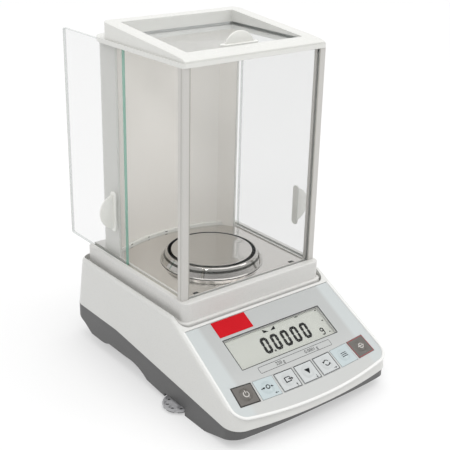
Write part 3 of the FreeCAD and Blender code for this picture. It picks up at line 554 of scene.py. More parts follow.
@dataclass(frozen=True)
class Overlay:
    """Silver film of the keypad: paler, bluish bands at the sides, and a paler band along the keys
    that is a painted highlight.
    """

    name: str = "printed_silver_film"
    band: str = "#BBC0C0"
    middle: str = "#AFB1B0"
    # Paler grey of the film's front part, below the keys: a painted highlight.
    foot: str = "#BBBCBA"
    band_start: float = 79.0 * MM
    band_end: float = 84.0 * MM
    painted_highlight_start: float = -118.0 * MM
    painted_highlight_end: float = -158.0 * MM

    def build(self) -> Material:
        """Make the material."""
        material, tree = blank(self.name)
        place = add_node(tree, "TexCoord").outputs["Object"]
        split = add_node(tree, "SeparateXYZ", links={"Vector": place})
        aside = add_node(tree, "Math", {"operation": "ABSOLUTE"}, {0: split.outputs["X"]})
        side = add_node(tree, "MapRange", {"From Min": self.band_start,
                                          "From Max": self.band_end},
                        {"Value": aside.outputs[0]})
        # Towards the front edge the film turns paler: a painted highlight.
        low = add_node(tree, "MapRange", {"From Min": self.painted_highlight_start,
                                         "From Max": self.painted_highlight_end},
                       {"Value": split.outputs["Y"]})
        first = add_node(tree, "Mix", {"data_type": "RGBA"}, {0: low.outputs[0]})
        first.inputs[6].default_value = linear(self.middle)
        first.inputs[7].default_value = linear(self.foot)
        second = add_node(tree, "Mix", {"data_type": "RGBA"},
                          {0: side.outputs[0], 6: first.outputs[2]})
        second.inputs[7].default_value = linear(self.band)
        tooth = pattern(tree, 0.4, 2.0)
        rough = between(tree, tooth, 0.34, 0.42)
        normal = relief(tree, tooth, 0.01, 0.2, 0.25)
        surface(tree, {"IOR": 1.5},
                {"Base Color": second.outputs[2], "Roughness": rough, "Normal": normal})
        return material


@dataclass(frozen=True)
class CircuitLaminate:
    """Glass-epoxy board under green solder mask, with its weave just visible."""

    name: str = "green_circuit_laminate"

    def build(self) -> Material:
        """Make the material."""
        material, tree = blank(self.name)
        weave = pattern(tree, 0.8, 1.0, (1, 0.25, 1))
        colour = tinted(tree, weave, "#1C6B3C", "#2A8450")
        normal = relief(tree, weave, 0.02, 0.3)
        surface(tree, {"Roughness": 0.35, "Coat Weight": 0.3},
                {"Base Color": colour, "Normal": normal})
        return material


class Finishes:
    """All the materials of the balance, each made once."""

    def __init__(self, pan_centre: Vector) -> None:
        """Make every material.

        Args:
            pan_centre: Point on the pan's axis.
        """
        # Light ABS moulded in a spark-eroded tool: an even satin with a grain just felt.
        self.casing = Moulded("light_grey_abs_casing", "#D6D6D3", "#D2D2CF", 0.3, 0.7,
                              0.01).build()
        # The same ABS where the tool was polished: a brighter gloss along the moulding, and a paler
        # colour that is a painted highlight.
        self.casing_bead_painted_highlight = Moulded("light_grey_abs_moulding_painted_highlight", "#E4E4E2", "#E0E0DE", 0.22, 0.7,
                                   0.004, 0.0).build()
        # Through-coloured ABS with a coarser grain: a dark matt underside that hides scuffs.
        self.base = Moulded("dark_grey_abs_base", "#585858", "#535353", 0.42, 0.9, 0.02).build()
        # Fine-grained warm ABS: soft highlights along the cage's frames.
        self.shield = Moulded("off_white_abs_shield", "#DEDEDA", "#DADAD6", 0.26, 0.7,
                              0.006).build()
        # The cage's foot in a grey near the casing's: the frames' ABS made a touch darker, as
        # painted shade.
        self.shield_foot_painted_shade = Moulded("light_grey_abs_shield_foot", "#D3D2CF", "#CFCECB", 0.28, 0.7,
                                   0.006).build()
        # Posts, smooth along their length; greyer than the mouldings as painted shade.
        self.post = Moulded("light_grey_abs_post_painted_shade", "#C6C4C0", "#C2C0BC", 0.3, 0.9,
                            0.008).build()
        # Bent sheet under baked powder: a warm white with a faint orange peel.
        self.wall = Moulded("powder_coated_curved_wall", "#EFECE7", "#EBE8E2", 0.34, 1.1,
                            0.02, 0.3).build()
        # Thin moulded ABS glued on the glass: pale, clean edges.
        self.grip = Moulded("off_white_abs_grip", "#E8E8E4", "#E4E4DF", 0.3, 0.7, 0.008,
                            0.0).build()
        # Black ABS of sockets and collars: reads as depth more than as a surface. It is also the
        # painted shade inside the draft ring and over the floor plate's notches.
        self.black = Moulded("black_abs_socket_and_painted_shade", "#1C1C1D", "#222223", 0.45).build()
        # Extruded vinyl: dull thin lines beside the glass.
        self.seal = Moulded("grey_vinyl_seal", "#A9A7A0", "#A3A19A", 0.5, 0.7, 0.01, 0.0).build()
        # Uncoloured nylon strip: waxy and slightly yellow in the door tracks.
        self.nylon = Moulded("natural_nylon_glide", "#D9D6C8", "#D2CFC0", 0.4).build()
        # Pressed nitrile: nearly black, without gloss, with a coarse tooth. On the foot knobs it is
        # painted shade on their lower side and in their pockets.
        self.rubber = Moulded("black_nitrile_rubber_and_painted_shade", "#232324", "#2B2B2B", 0.75, 1.4, 0.08).build()
        # Die-cast zinc under stoved enamel: mid grey with softened edges.
        self.knob = Moulded("grey_enamelled_zinc_knob", "#B2B2B4", "#A6A6A8", 0.3, 1.2,
                            0.03, 0.5).build()
        # Polished float glass: greys what stands behind it a little, with sharp reflections.
        self.glass = Pane("clear_float_glass", "#787D7C", 0.065).build()
        # Ground edge that light runs along: the green of the glass's iron.
        self.green_edge = Pane("ground_green_glass_edge", "#7FB0A0", 0.85, 0.12).build()
        # Ground edges seen from their side: a pale frosted line.
        self.pale_edge = Pane("ground_glass_edge", "#B4BBB8", 0.5, 0.12).build()
        # The lid's edges lie in white grooves, so they look almost white.
        self.lid_edge = Pane("ground_lid_glass_edge", "#E6ECEA", 0.7, 0.12).build()
        # The lid is seen at a low angle: the same glass with a paler, stronger veil, a painted
        # reflection of the sky.
        self.lid_glass_painted_reflection = Pane("clear_float_glass_lid_painted_reflection", "#D8DCDC", 0.2).build()
        # Cast acrylic over the display: clear, with less sharp reflections than glass.
        self.acrylic = Pane("clear_acrylic_window", "#F0F2F0", 0.02, 0.05).build()
        # Dyed spirit of the bubble level: a bright yellow green.
        self.vial = Pane("tinted_level_fluid", "#C8D65A", 0.6).build()
        # Stainless turned on a lathe: fine rings that stretch reflections across the pan.
        self.pan = TurnedSteel("turned_satin_stainless", "#D0CDC9", 0.11, pan_centre).build()
        # Spun and polished stainless: a bright cone with hardly any marks.
        self.ring = TurnedSteel("polished_stainless_ring", "#C6C3BF", 0.09, pan_centre, 0.9,
                                0.001).build()
        # A dark band on the ring's cone under its lip: a painted reflection of the dark gap round
        # the pan.
        self.ring_painted_reflection = TurnedSteel("stainless_ring_painted_reflection", "#5C5B56", 0.12, pan_centre, 0.9,
                                     0.001).build()
        # Cold-rolled sheet with its grain from left to right: softly mirrors the wall.
        self.plate = Metal("rolled_satin_stainless", "#D9D6D2", 0.12, (0.08, 1, 1), 0.5).build()
        # Milled aluminium: pale, with cutter marks along the cell.
        self.aluminium = Metal("milled_aluminium", "#C4C5C7", 0.28, (1, 0.2, 1), 0.8).build()
        # Rolled spring strip: bluish and drawn along its length.
        self.spring = Metal("rolled_spring_steel", "#A9ACB1", 0.22, (0.1, 1, 1), 0.4).build()
        # Enamelled wire, wound in level turns: fine copper ribs.
        self.copper = Metal("enamelled_copper_winding", "#B8693A", 0.3, (1, 1, 6), 0.5, 0.05,
                            0.6).build()
        # Nickel-plated soft iron: a warm, dull shine.
        self.iron = Metal("nickel_plated_iron", "#8E8C88", 0.3).build()
        # Turned brass of pillars, pins and inserts: yellow with fine turning lines.
        self.brass = Metal("turned_brass", "#C9A45C", 0.25, (1, 1, 5), 0.5).build()
        # Tin-plated shell of the data port: grey and slightly cloudy.
        self.port = Metal("tin_plated_steel", "#A8A9AB", 0.3).build()
        # Zinc-plated screws: a cool mid grey.
        self.zinc = Metal("zinc_plated_screw", "#9A9C9E", 0.32).build()
        # Boards and film; each class says what its surface gives the eye.
        self.board = CircuitLaminate().build()
        self.overlay = Overlay().build()
        # Opaque red ink under a matt film: full colour with no sheen.
        self.label = Printed("red_printed_label", "#C4101D", "#BC0E1B", 0.4, 0.08).build()
        # Reflective liquid crystal cell: a greenish grey that looks like paper.
        self.display = Printed("reflective_display", "#BCBEB7", "#B9BBB4", 0.4, 0.2).build()
        # Switched segments of the display: black without a reflection. The same ink lines the
        # opening round the display as painted shade.
        self.ink = Printed("black_display_ink_and_painted_shade", "#060606", "#0A0A0A", 0.6, 0.05).build()
        # Screen ink of lines and figures: a soft black.
        self.line = Printed("dark_grey_print", "#1A1C1E", "#202224", 0.6, 0.1).build()
        # Embossed key film, printed from behind: smoother and glossier than the overlay.
        self.dark_film = Printed("dark_brown_key_film", "#5C5853", "#56524D", 0.2, 0.5).build()
        self.blue_film = Printed("pale_blue_key_film", "#B6C1C3", "#B0BBBD", 0.2).build()
        self.light_film = Printed("light_grey_key_film", "#BFC2C2", "#B9BCBC", 0.2).build()
        # Marks and lines on the keys: flat inks on top of the film.
        self.pale_ink = Printed("pale_grey_print", "#BDBAB5", "#B6B3AE", 0.4).build()
        self.red_ink = Printed("red_print", "#A8323A", "#9E2D35", 0.4).build()
        # Foil plate on the rear wall: blank, silvery and smooth.
        self.paper = Printed("blank_rating_plate", "#B9BBBD", "#B2B4B6", 0.3).build()


# ---------------------------------------------------------------- front panel

class Colour(Enum):
    """Film colour of a key."""

    DARK = "dark"
    BLUE = "blue"
    LIGHT = "light"


class Mark(Enum):
    """Picture printed on a key."""

    POWER = "power"
    ZERO = "zero"
    OUTPUT = "output"
    DOWN = "down"
    CYCLE = "cycle"
    MENU = "menu"
    TARE = "tare"


@dataclass
class SlopedPanel:
    """Plane of the keypad film: x to the right, y up the slope and z out of it."""

    film_gap: float = 1.0 * MM
    matrix: Matrix = field(init=False)

    def __post_init__(self) -> None:
        """Read the plane from the film and the keys' way."""
        press = [j for j in frame["joints"] if j["name"] == "power_key_press"][0]
        out = -Vector(press["axis"]).normalized()
        across = Vector((1, 0, 0))
        upward = out.cross(across)
        points = [vertex.co for vertex in frame["nodes"]["panel_overlay"].data.vertices]
        face = max(out.dot(point) for point in points)
        top = max(upward.dot(point) for point in points)
        turn = Matrix((across, upward, out)).transposed().to_4x4()
        self.matrix = Matrix.Translation(out * face + upward * (top + self.film_gap)) @ turn

    def spread(self, node: str) -> tuple[Vector, Vector]:
        """Lowest and highest corner of a CAD node, in the panel's own directions."""
        back = self.matrix.inverted()
        points = [back @ vertex.co for vertex in frame["nodes"][node].data.vertices]
        low = Vector(min(point[i] for point in points) for i in range(3))
        high = Vector(max(point[i] for point in points) for i in range(3))
        return low, high

    def lay(self, piece: Piece) -> Piece:
        """Lay a piece that was made flat onto the panel."""
        return moved(piece, self.matrix)


def outline(name: str, centre: Vector, wide: float, tall: float, line: float,
            corner: float = 0.6 * MM) -> Piece:
    """Printed line round a rectangle, drawn inside it.

    Args:
        name: Name of the piece.
        centre: Middle of the rectangle.
        wide: Width outside the line.
        tall: Height outside the line.
        line: Width of the line.
        corner: Radius of the corners.

    Returns:
        A flat ring.
    """
    piece = sheet(name, centre, wide, tall)
    with editing(piece, "VERT", "SELECT"):
        bpy.ops.mesh.bevel(offset=corner, segments=3, affect="VERTICES")
    with editing(piece, "FACE", "SELECT"):
        bpy.ops.mesh.inset(thickness=line)
        bpy.ops.mesh.delete(type="FACE")
    return piece


def arc(name: str, centre: Vector, radius: float, line: float, start: float,
        sweep: float) -> Piece:
    """Printed arc, spun from a short radial edge.

    Args:
        name: Name of the piece.
        centre: Centre of the arc.
        radius: Radius of its middle line.
        line: Width of the line.
        start: Start in degrees, from the x direction.
        sweep: Length in degrees.

    Returns:
        A flat ribbon.
    """
    reach = Vector((math.cos(math.radians(start)), math.sin(math.radians(start)), 0)) * radius
    piece = sheet(name, centre + reach, line, line * 0.02, math.radians(start))
    ahead = Vector((-reach.y, reach.x, 0)) * (1 if sweep > 0 else -1)
    with editing(piece, "VERT"):
        pick_points(piece, lambda point: (point - centre - reach).dot(ahead) > 0)
        bpy.ops.mesh.extrude_edges_move()
        steps = max(6, int(abs(sweep) / 9))
        turn = -math.radians(sweep) / steps
        for step in range(steps):
            bpy.ops.transform.rotate(value=turn, orient_axis="Z", center_override=centre)
            if step < steps - 1:
                bpy.ops.mesh.extrude_edges_move()
    return piece


def arrow(name: str, tip: Vector, size: float, heading: float) -> Piece:
    """Printed arrow head.

    Args:
        name: Name of the piece.
        tip: Its tip.
        size: Its length.
        heading: Direction it points in, in degrees from the x direction.

    Returns:
        A flat triangle.
    """
    angle = math.radians(heading)
    centre = tip - Vector((math.cos(angle), math.sin(angle), 0)) * size * 0.62
    bpy.ops.mesh.primitive_circle_add(vertices=3, radius=size * 0.62, fill_type="NGON",
                                      location=centre, rotation=(0, 0, angle - math.pi / 2))
    piece = named(name)
    settled()
    return piece


def wedge(name: str, corner: Vector, long: float, tall: float) -> Piece:
    """Printed right-angled triangle.

    Args:
        name: Name of the piece.
        corner: Its right angle.
        long: Length along x, with its sign.
        tall: Height along y.

    Returns:
        A flat triangle.
    """
    piece = sheet(name, corner + Vector((long, tall, 0)) / 2, abs(long), tall)
    far = corner.x + long
    with editing(piece, "VERT"):
        pick_points(piece, lambda point: abs(point.x - far) < 1e-7)
        bpy.ops.mesh.merge(type="CENTER")
        bpy.ops.transform.translate(value=(0, -tall / 2, 0))
    return piece


@dataclass
class Key:
    """One embossed key: a film cap with a dome, its line and its mark."""

    name: str
    colour: Colour
    mark: Mark
    boxed: bool = False
    wide: float = 24.0 * MM
    tall: float = 21.8 * MM
    top: float = 0.3 * MM
    thick: float = 0.8 * MM
    dome: float = 1.9 * MM
    dome_reach: float = 7.4 * MM
    print_thick: float = 0.05 * MM
    mark_scale: float = 1.35
    bow_radius: float = 1.0
    edge_round: float = 0.25 * MM

    def height(self, x: float, y: float) -> float:
        """Height of the cap's skin at a place from its middle."""
        reach = math.hypot(x, y) / self.dome_reach
        if reach >= 1:
            return self.top
        return self.top + self.dome * (1 - reach * reach)

    def cap(self) -> Piece:
        """Film cap with a smooth dome and rounded corners."""
        bpy.ops.mesh.primitive_grid_add(x_subdivisions=36, y_subdivisions=34, size=1)
        piece = named(self.name + "_cap")
        piece.scale = (self.wide, self.tall, 1)
        settled()
        with editing(piece, "VERT", "SELECT"):
            bpy.ops.mesh.extrude_region_move(
                TRANSFORM_OT_translate={"value": (0, 0, -self.thick)})
        with editing(piece, "VERT", "SELECT"):
            bpy.ops.mesh.normals_make_consistent(inside=False)
        for vertex in piece.data.vertices:
            if vertex.co.z > -self.thick / 2:
                vertex.co.z = self.height(vertex.co.x, vertex.co.y)
            else:
                vertex.co.z = self.top - self.thick
        half = self.wide / 2
        return bevelled(piece, self.edge_round, 2, lambda a, b: a.z > 0 and b.z > 0 and (
            min(abs(a.x), abs(b.x)) > half - 1e-6
            or min(abs(a.y), abs(b.y)) > self.tall / 2 - 1e-6))

    def strokes(self) -> list[Piece]:
        """Flat shapes of the key's mark, about its middle."""
        zero = Vector((0, 0, 0))
        line = 0.75 * MM
        if self.mark is Mark.POWER:
            return [arc("ring", zero, 2.2 * MM, line, 125, 290),
                    sheet("bar", mm(0, 1.9, 0), line, 2.6 * MM)]
        if self.mark is Mark.ZERO:
            return [arc("ring", zero, 1.5 * MM, line, 0, 360),
                    sheet("left", mm(-4.4, 0, 0), 2.2 * MM, line),
                    arrow("left_tip", mm(-2.3, 0, 0), 1.7 * MM, 0),
                    sheet("right", mm(4.4, 0, 0), 2.2 * MM, line),
                    arrow("right_tip", mm(2.3, 0, 0), 1.7 * MM, 180)]
        if self.mark is Mark.OUTPUT:
            return [outline("case", mm(-0.6, 0, 0), 5.4 * MM, 4.6 * MM, line, 0.7 * MM),
                    sheet("bar", mm(1.6, 0, 0), 3.6 * MM, line),
                    arrow("tip", mm(4.9, 0, 0), 2.2 * MM, 0)]
        if self.mark is Mark.DOWN:
            return [arrow("tip", mm(0, -2.4, 0), 5.0 * MM, -90)]
        if self.mark is Mark.CYCLE:
            return [arc("upper", zero, 2.3 * MM, line, 20, 130),
                    arrow("upper_tip", mm(-2.9, 0.1, 0), 1.9 * MM, -110),
                    arc("lower", zero, 2.3 * MM, line, 200, 130),
                    arrow("lower_tip", mm(2.9, -0.1, 0), 1.9 * MM, 70)]
        if self.mark is Mark.MENU:
            return [sheet("bar" + str(i), mm(0, i * 1.5, 0), 5.6 * MM, 0.6 * MM)
                    for i in (-1, 0, 1)]
        return [arc("ring", zero, 2.0 * MM, line, 0, 360),
                sheet("across", mm(0, 0, 0), 6.4 * MM, line)]

    def corner_mark(self) -> list[Piece]:
        """Small arrow in the lower right corner of the middle keys."""
        spots = {Mark.ZERO: 180, Mark.OUTPUT: 90, Mark.DOWN: -90, Mark.CYCLE: 0}
        if self.mark not in spots:
            return []
        turn = math.radians(spots[self.mark])
        centre = mm(7.2, -7.9, 0)
        ahead = Vector((math.cos(turn), math.sin(turn), 0))
        return [sheet("shaft", centre - ahead * 0.7 * MM, 2.8 * MM, 0.5 * MM, turn),
                arrow("head", centre + ahead * 2.2 * MM, 2.0 * MM, spots[self.mark])]

    def drape(self, piece: Piece) -> Piece:
        """Lay a flat print on the domed skin and give it a thickness."""
        with editing(piece, "FACE", "SELECT"):
            bpy.ops.mesh.remove_doubles(threshold=1e-7)
            bpy.ops.mesh.quads_convert_to_tris()
            bpy.ops.mesh.subdivide(number_cuts=3)
            bpy.ops.mesh.normals_make_consistent(inside=False)
        for vertex in piece.data.vertices:
            vertex.co.z = self.height(vertex.co.x, vertex.co.y) + self.print_thick
        return thickened(piece, self.print_thick)

    def build(self, panel: SlopedPanel, finishes: Finishes) -> None:
        """Model the key, its line and its mark, and put them on the key's body.

        Args:
            panel: Plane of the keypad.
            finishes: The balance's materials.
        """
        low, high = panel.spread(self.name)
        centre = Vector(((low.x + high.x) / 2, (low.y + high.y) / 2, 0))
        spot = Matrix.Translation(centre) @ Matrix.Rotation(centre.x / self.bow_radius, 4, "Z")
        film = {Colour.DARK: finishes.dark_film, Colour.BLUE: finishes.blue_film,
                Colour.LIGHT: finishes.light_film}[self.colour]
        slot = "dark_key" if self.colour is Colour.DARK else "light_key"
        cap = moved(self.cap(), panel.matrix @ spot)
        fitted(cap, self.name, film, slot, self.name)
        strokes = joined(self.name + "_strokes", self.strokes())
        strokes.data.transform(Matrix.Scale(self.mark_scale, 4))
        mark = self.drape(joined(self.name + "_mark", [strokes] + self.corner_mark()))
        pale = self.colour is Colour.DARK
        fitted(moved(mark, panel.matrix @ spot), self.name,
               finishes.pale_ink if pale else finishes.line, slot)
        if self.boxed:
            rim = outline(self.name + "_line", Vector((0, 0, 0)), self.wide - 0.5 * MM,
                          self.tall - 0.5 * MM, 0.6 * MM)
            ink = finishes.red_ink if self.mark is Mark.TARE else finishes.line
            fitted(moved(self.drape(rim), panel.matrix @ spot), self.name, ink, slot)


@dataclass
class Display:
    """Liquid crystal display: slanted seven-segment digits under a clear window."""

    digit_wide: float = 9.6 * MM
    digit_tall: float = 19.4 * MM
    digit_pitch: float = 13.6 * MM
    stroke: float = 3.3 * MM
    slant: float = math.tan(math.radians(4))
    first: float = -20.9 * MM
    row: float = -44.7 * MM
    ink_thick: float = 0.08 * MM
    count: int = 5
    gap: float = 0.35 * MM
    gasket_line: float = 0.8 * MM
    unit: Point = (52.6, -50.8, 0)
    unit_line: float = 1.3 * MM
    pointer_long: float = 6.9 * MM
    pointer_tall: float = 4.3 * MM
    pointer_foot: float = -30.7
    signs: tuple[Point, ...] = ((32.7, -26.4, 4.6), (60.3, -27, 2.4), (60.7, -41.1, 1.8),
                                (61.1, -56.1, 1.6))

    def segment(self, name: str, centre: Vector, long: float, upright: bool) -> Piece:
        """One display segment: a flat bar with pointed ends."""
        piece = sheet(name, centre, long - self.stroke, self.stroke)
        with editing(piece, "EDGE"):
            for way in (-1, 1):
                bpy.ops.mesh.select_all(action="DESELECT")
                edge = (long - self.stroke) / 2
                pick_edges(piece, lambda a, b: abs(a.x - centre.x - way * edge) < 1e-7
                           and abs(b.x - centre.x - way * edge) < 1e-7)
                reach = (way * self.stroke / 2, 0, 0)
                bpy.ops.mesh.extrude_region_move(TRANSFORM_OT_translate={"value": reach})
                bpy.ops.transform.resize(value=(1, 0.08, 1), center_override=centre)
        if upright:
            turn = Matrix.Rotation(math.pi / 2, 4, "Z")
            piece.data.transform(Matrix.Translation(centre) @ turn @ Matrix.Translation(-centre))
        return piece

    def digit(self, number: int) -> list[Piece]:
        """A zero: six of the seven segments."""
        x = self.first + number * self.digit_pitch
        half = self.digit_tall / 4
        side = self.digit_wide / 2 - self.stroke / 2
        end = self.digit_tall / 2 - self.stroke / 2
        strokes = []
        for way in (-1, 1):
            strokes.append(self.segment("level", Vector((x, self.row + way * end, 0)),
                                        self.digit_wide - 2 * self.gap - self.stroke * 0.3,
                                        False))
            for up in (-1, 1):
                spot = Vector((x + way * side, self.row + up * (half - self.stroke / 4), 0))
                strokes.append(self.segment("upright", spot,
                                            self.digit_tall / 2 - 2 * self.gap, True))
        return strokes

    def small_marks(self) -> list[Piece]:
        """Decimal point, unit, pointers and small signs."""
        low = self.row - self.digit_tall / 2
        point = self.first + self.digit_pitch / 2
        marks = [sheet("point", Vector((point, low + 0.9 * MM, 0)), 2.0 * MM, 2.0 * MM)]
        unit = mm(*self.unit)
        line = self.unit_line
        marks.append(arc("bowl", unit, 1.9 * MM, line, 0, 360))
        marks.append(sheet("stem", unit + mm(1.95, -1.6, 0), line, 6.0 * MM))
        marks.append(arc("tail", unit + mm(0.1, -4.2, 0), 1.85 * MM, line, -150, 150))
        for way, foot in ((-1, -15.6), (1, 0.6)):
            marks.append(wedge("pointer", mm(foot, self.pointer_foot, 0),
                               self.pointer_long * -way, self.pointer_tall))
        for x, y, wide in self.signs:
            marks.append(sheet("sign", mm(x, y, 0), wide * MM, 1.0 * MM))
        return marks

    def gasket(self, panel: SlopedPanel, finishes: Finishes) -> None:
        """Thin black lining of the opening between the window and the display: painted shade of the
        opening's inner walls.
        """
        low, high = panel.spread("display_module")
        window, _ = panel.spread("display_window")
        middle = Vector(((low.x + high.x) / 2, (low.y + high.y) / 2, high.z))
        wide, tall = high.x - low.x, high.y - low.y
        ring = outline("display_painted_shade_lining", middle, wide + 0.1 * MM, tall + 0.1 * MM,
                       self.gasket_line)
        with editing(ring, "FACE", "SELECT"):
            bpy.ops.mesh.extrude_region_move(
                TRANSFORM_OT_translate={"value": (0, 0, window.z - high.z - 0.05 * MM)})
            bpy.ops.mesh.select_all(action="SELECT")
            bpy.ops.mesh.normals_make_consistent(inside=False)
        # The lining is painted shade of the recess walls round the display.
        fitted(panel.lay(ring), "housing", finishes.ink, "black_plastic")

    def build(self, panel: SlopedPanel, finishes: Finishes) -> None:
        """Draw the reading on the display glass.

        Args:
            panel: Plane of the keypad.
            finishes: The balance's materials.
        """
        _, high = panel.spread("display_module")
        strokes = self.small_marks()
        for number in range(self.count):
            strokes += self.digit(number)
        piece = joined("display_reading", strokes)
        shear = Matrix.Identity(4)
        shear[0][1] = self.slant
        piece.data.transform(Matrix.Translation((0, self.row, 0)) @ shear
                             @ Matrix.Translation((0, -self.row, 0)))
        thickened(cleaned(piece), self.ink_thick)
        lift = Matrix.Translation((0, 0, high.z + self.ink_thick))
        fitted(moved(piece, panel.matrix @ lift), "housing", finishes.ink, "black_plastic")
        self.gasket(panel, finishes)
        dress(finishes.display, "display_module")
        dress(finishes.acrylic, "display_window")


@dataclass
class Keypad:
    """Sloped front: film, window line, information strip, label, display and keys."""

    panel: SlopedPanel
    strip_half: float = 49.0 * MM
    strip_top: float = -65.0 * MM
    strip_low: float = -72.3 * MM
    strip_line: float = 0.4 * MM
    figure_size: float = 5.4 * MM
    figures: tuple[tuple[str, str, float], ...] = (
        ("capacity_print", "220 g", -21.3), ("division_print", "0.0001 g", 21.5))
    window_margin: float = 0.4 * MM
    window_line: float = 0.7 * MM
    print_lift: float = 0.03 * MM
    print_thick: float = 0.05 * MM
    bead_inset: float = 0.55 * MM
    bead_top: float = -1.0 * MM
    bead_foot: float = -104.8 * MM
    bead_flare: float = 4.3 * MM
    bead_bow: float = 470 * MM
    bead_wide: float = 3.4 * MM
    bead_proud: float = 1.2 * MM
    bead_corner: float = 13.0 * MM
    keys: tuple[Key, ...] = (
        Key("power_key", Colour.DARK, Mark.POWER, True),
        Key("zero_key", Colour.BLUE, Mark.ZERO),
        Key("output_key", Colour.LIGHT, Mark.OUTPUT, True),
        Key("down_key", Colour.LIGHT, Mark.DOWN, True),
        Key("cycle_key", Colour.LIGHT, Mark.CYCLE, True),
        Key("menu_key", Colour.BLUE, Mark.MENU),
        Key("tare_key", Colour.DARK, Mark.TARE, True),
    )

    def print_on(self, piece: Piece, finish: Material) -> Piece:
        """Give a flat print a thickness and lay it on the film."""
        thickened(cleaned(piece), self.print_thick)
        lift = Matrix.Translation((0, 0, self.print_lift))
        return fitted(moved(piece, self.panel.matrix @ lift), "housing", finish,
                      "overlay_film")

    def words(self, name: str, text: str, centre: Vector, size: float) -> Piece:
        """Printed figures, as a flat mesh."""
        bpy.ops.object.text_add(location=centre)
        writing = bpy.context.object
        writing.data.body = text
        writing.data.size = size
        writing.data.align_x = "CENTER"
        writing.data.align_y = "CENTER"
        writing.data.resolution_u = 3
        take(writing)
        bpy.ops.object.convert(target="MESH")
        piece = named(name)
        settled()
        return piece

    def bead(self, finishes: Finishes) -> None:
        """Rounded moulding of the casing round the film's sides and lower edge.

        It is one line of edges, with its corners rounded and its foot bowed as the film's,
        that a curve's bevel then makes round.

        Args:
            finishes: The balance's materials.
        """
        _, high = self.panel.spread("panel_overlay")
        half = high.x + self.bead_wide / 2 - self.bead_inset
        foot = self.bead_foot - self.bead_wide / 2
        corners = (Vector((self.bead_flare - half, self.bead_top, 0)), Vector((-half, foot, 0)),
                   Vector((half, foot, 0)), Vector((half - self.bead_flare, self.bead_top, 0)))
        bpy.ops.mesh.primitive_plane_add(size=1)
        piece = named("panel_bead")
        with editing(piece, "EDGE"):
            pick_edges(piece, lambda a, b: a.y > 0 and b.y > 0)
            bpy.ops.mesh.delete(type="EDGE_FACE")
        for vertex in piece.data.vertices:
            left, upper = vertex.co.x < 0, vertex.co.y > 0
            vertex.co = corners[(0 if upper else 1) if left else (3 if upper else 2)]
        with editing(piece, "VERT"):
            pick_points(piece, lambda point: point.y < self.bead_top - 1 * MM)
            bpy.ops.mesh.bevel(offset=self.bead_corner, segments=10, affect="VERTICES")
        with editing(piece, "EDGE"):
            pick_edges(piece, lambda a, b: (a - b).length > half and abs(a.y - b.y) < 1e-6)
            bpy.ops.mesh.subdivide(number_cuts=31)
        reach = math.sqrt(self.bead_bow ** 2 - half ** 2)
        for vertex in piece.data.vertices:
            if abs(vertex.co.x) < half:
                fade = min(1.0, (self.bead_top - vertex.co.y) / (self.bead_top - foot))
                vertex.co.y -= (math.sqrt(self.bead_bow ** 2 - vertex.co.x ** 2) - reach) * fade
        take(piece)
        bpy.ops.object.convert(target="CURVE")
        piece = bpy.context.object
        piece.data.bevel_depth = self.bead_wide / 2
        piece.data.bevel_resolution = 5
        piece.data.use_fill_caps = True
        bpy.ops.object.convert(target="MESH")
        piece = named("panel_bead")
        squeeze = Matrix.Diagonal((1, 1, self.bead_proud / (self.bead_wide / 2), 1))
        # The bead wears the casing's ABS made paler: a painted highlight along the moulding.
        fitted(moved(piece, self.panel.matrix @ squeeze), "housing", finishes.casing_bead_painted_highlight,
               "casing_plastic")

    def build(self, finishes: Finishes) -> None:
        """Dress the front and add its prints and keys.

        Args:
            finishes: The balance's materials.
        """
        dress(finishes.overlay, "panel_overlay")
        dress(finishes.label, "colour_label")
        low, high = self.panel.spread("display_window")
        middle = Vector(((low.x + high.x) / 2, (low.y + high.y) / 2, 0))
        margin = self.window_margin
        border = outline("window_line", middle, high.x - low.x + margin,
                         high.y - low.y + margin, self.window_line)
        self.print_on(border, finishes.line)
        centre = Vector((0, (self.strip_top + self.strip_low) / 2, 0))
        strip = outline("strip_line", centre, self.strip_half * 2,
                        self.strip_top - self.strip_low, self.strip_line, 1.0 * MM)
        self.print_on(strip, finishes.line)
        for name, text, place in self.figures:
            writing = self.words(name, text, centre + mm(place, 0, 0), self.figure_size)
            self.print_on(writing, finishes.line)
        self.bead(finishes)
        Display().build(self.panel, finishes)
        for key in self.keys:
            key.build(self.panel, finishes)


# --------------------------------------------------------------- draft shield

@dataclass
class GlassPane:
    """Pane with ground, softly rounded green edges."""

    node: str
    body: str
    edge_round: float = 0.5 * MM
    corner: float = 1.5 * MM
    green_edge: Vector | None = None

    def build(self, finishes: Finishes) -> None:
        """Model the pane in its CAD node's box.

        Args:
            finishes: The balance's materials.
        """
        low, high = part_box(self.node)
        piece = block(self.node + "_pane", low, high)
        thin = min(range(3), key=lambda i: high[i] - low[i])
        bevelled(piece, self.corner, 5, lambda a, b: abs(a[thin] - b[thin]) > 1e-6)
        bevelled(piece, self.edge_round, 3)
        # Lying panes get the lid's glass, whose pale veil is a painted reflection of the sky.
        piece.data.materials.append(finishes.lid_glass_painted_reflection if thin == 2 else finishes.glass)
        piece.data.materials.append(finishes.lid_edge if thin == 2 else finishes.pale_edge)
        piece.data.materials.append(finishes.green_edge)
        for face in piece.data.polygons:
            if abs(face.normal[thin]) > 0.999:
                face.material_index = 0
            elif self.green_edge and face.normal.dot(self.green_edge) > 0.3:
                face.material_index = 2
            else:
                face.material_index = 1
        fitted(piece, self.body, finishes.glass, "clear_glass", self.node)


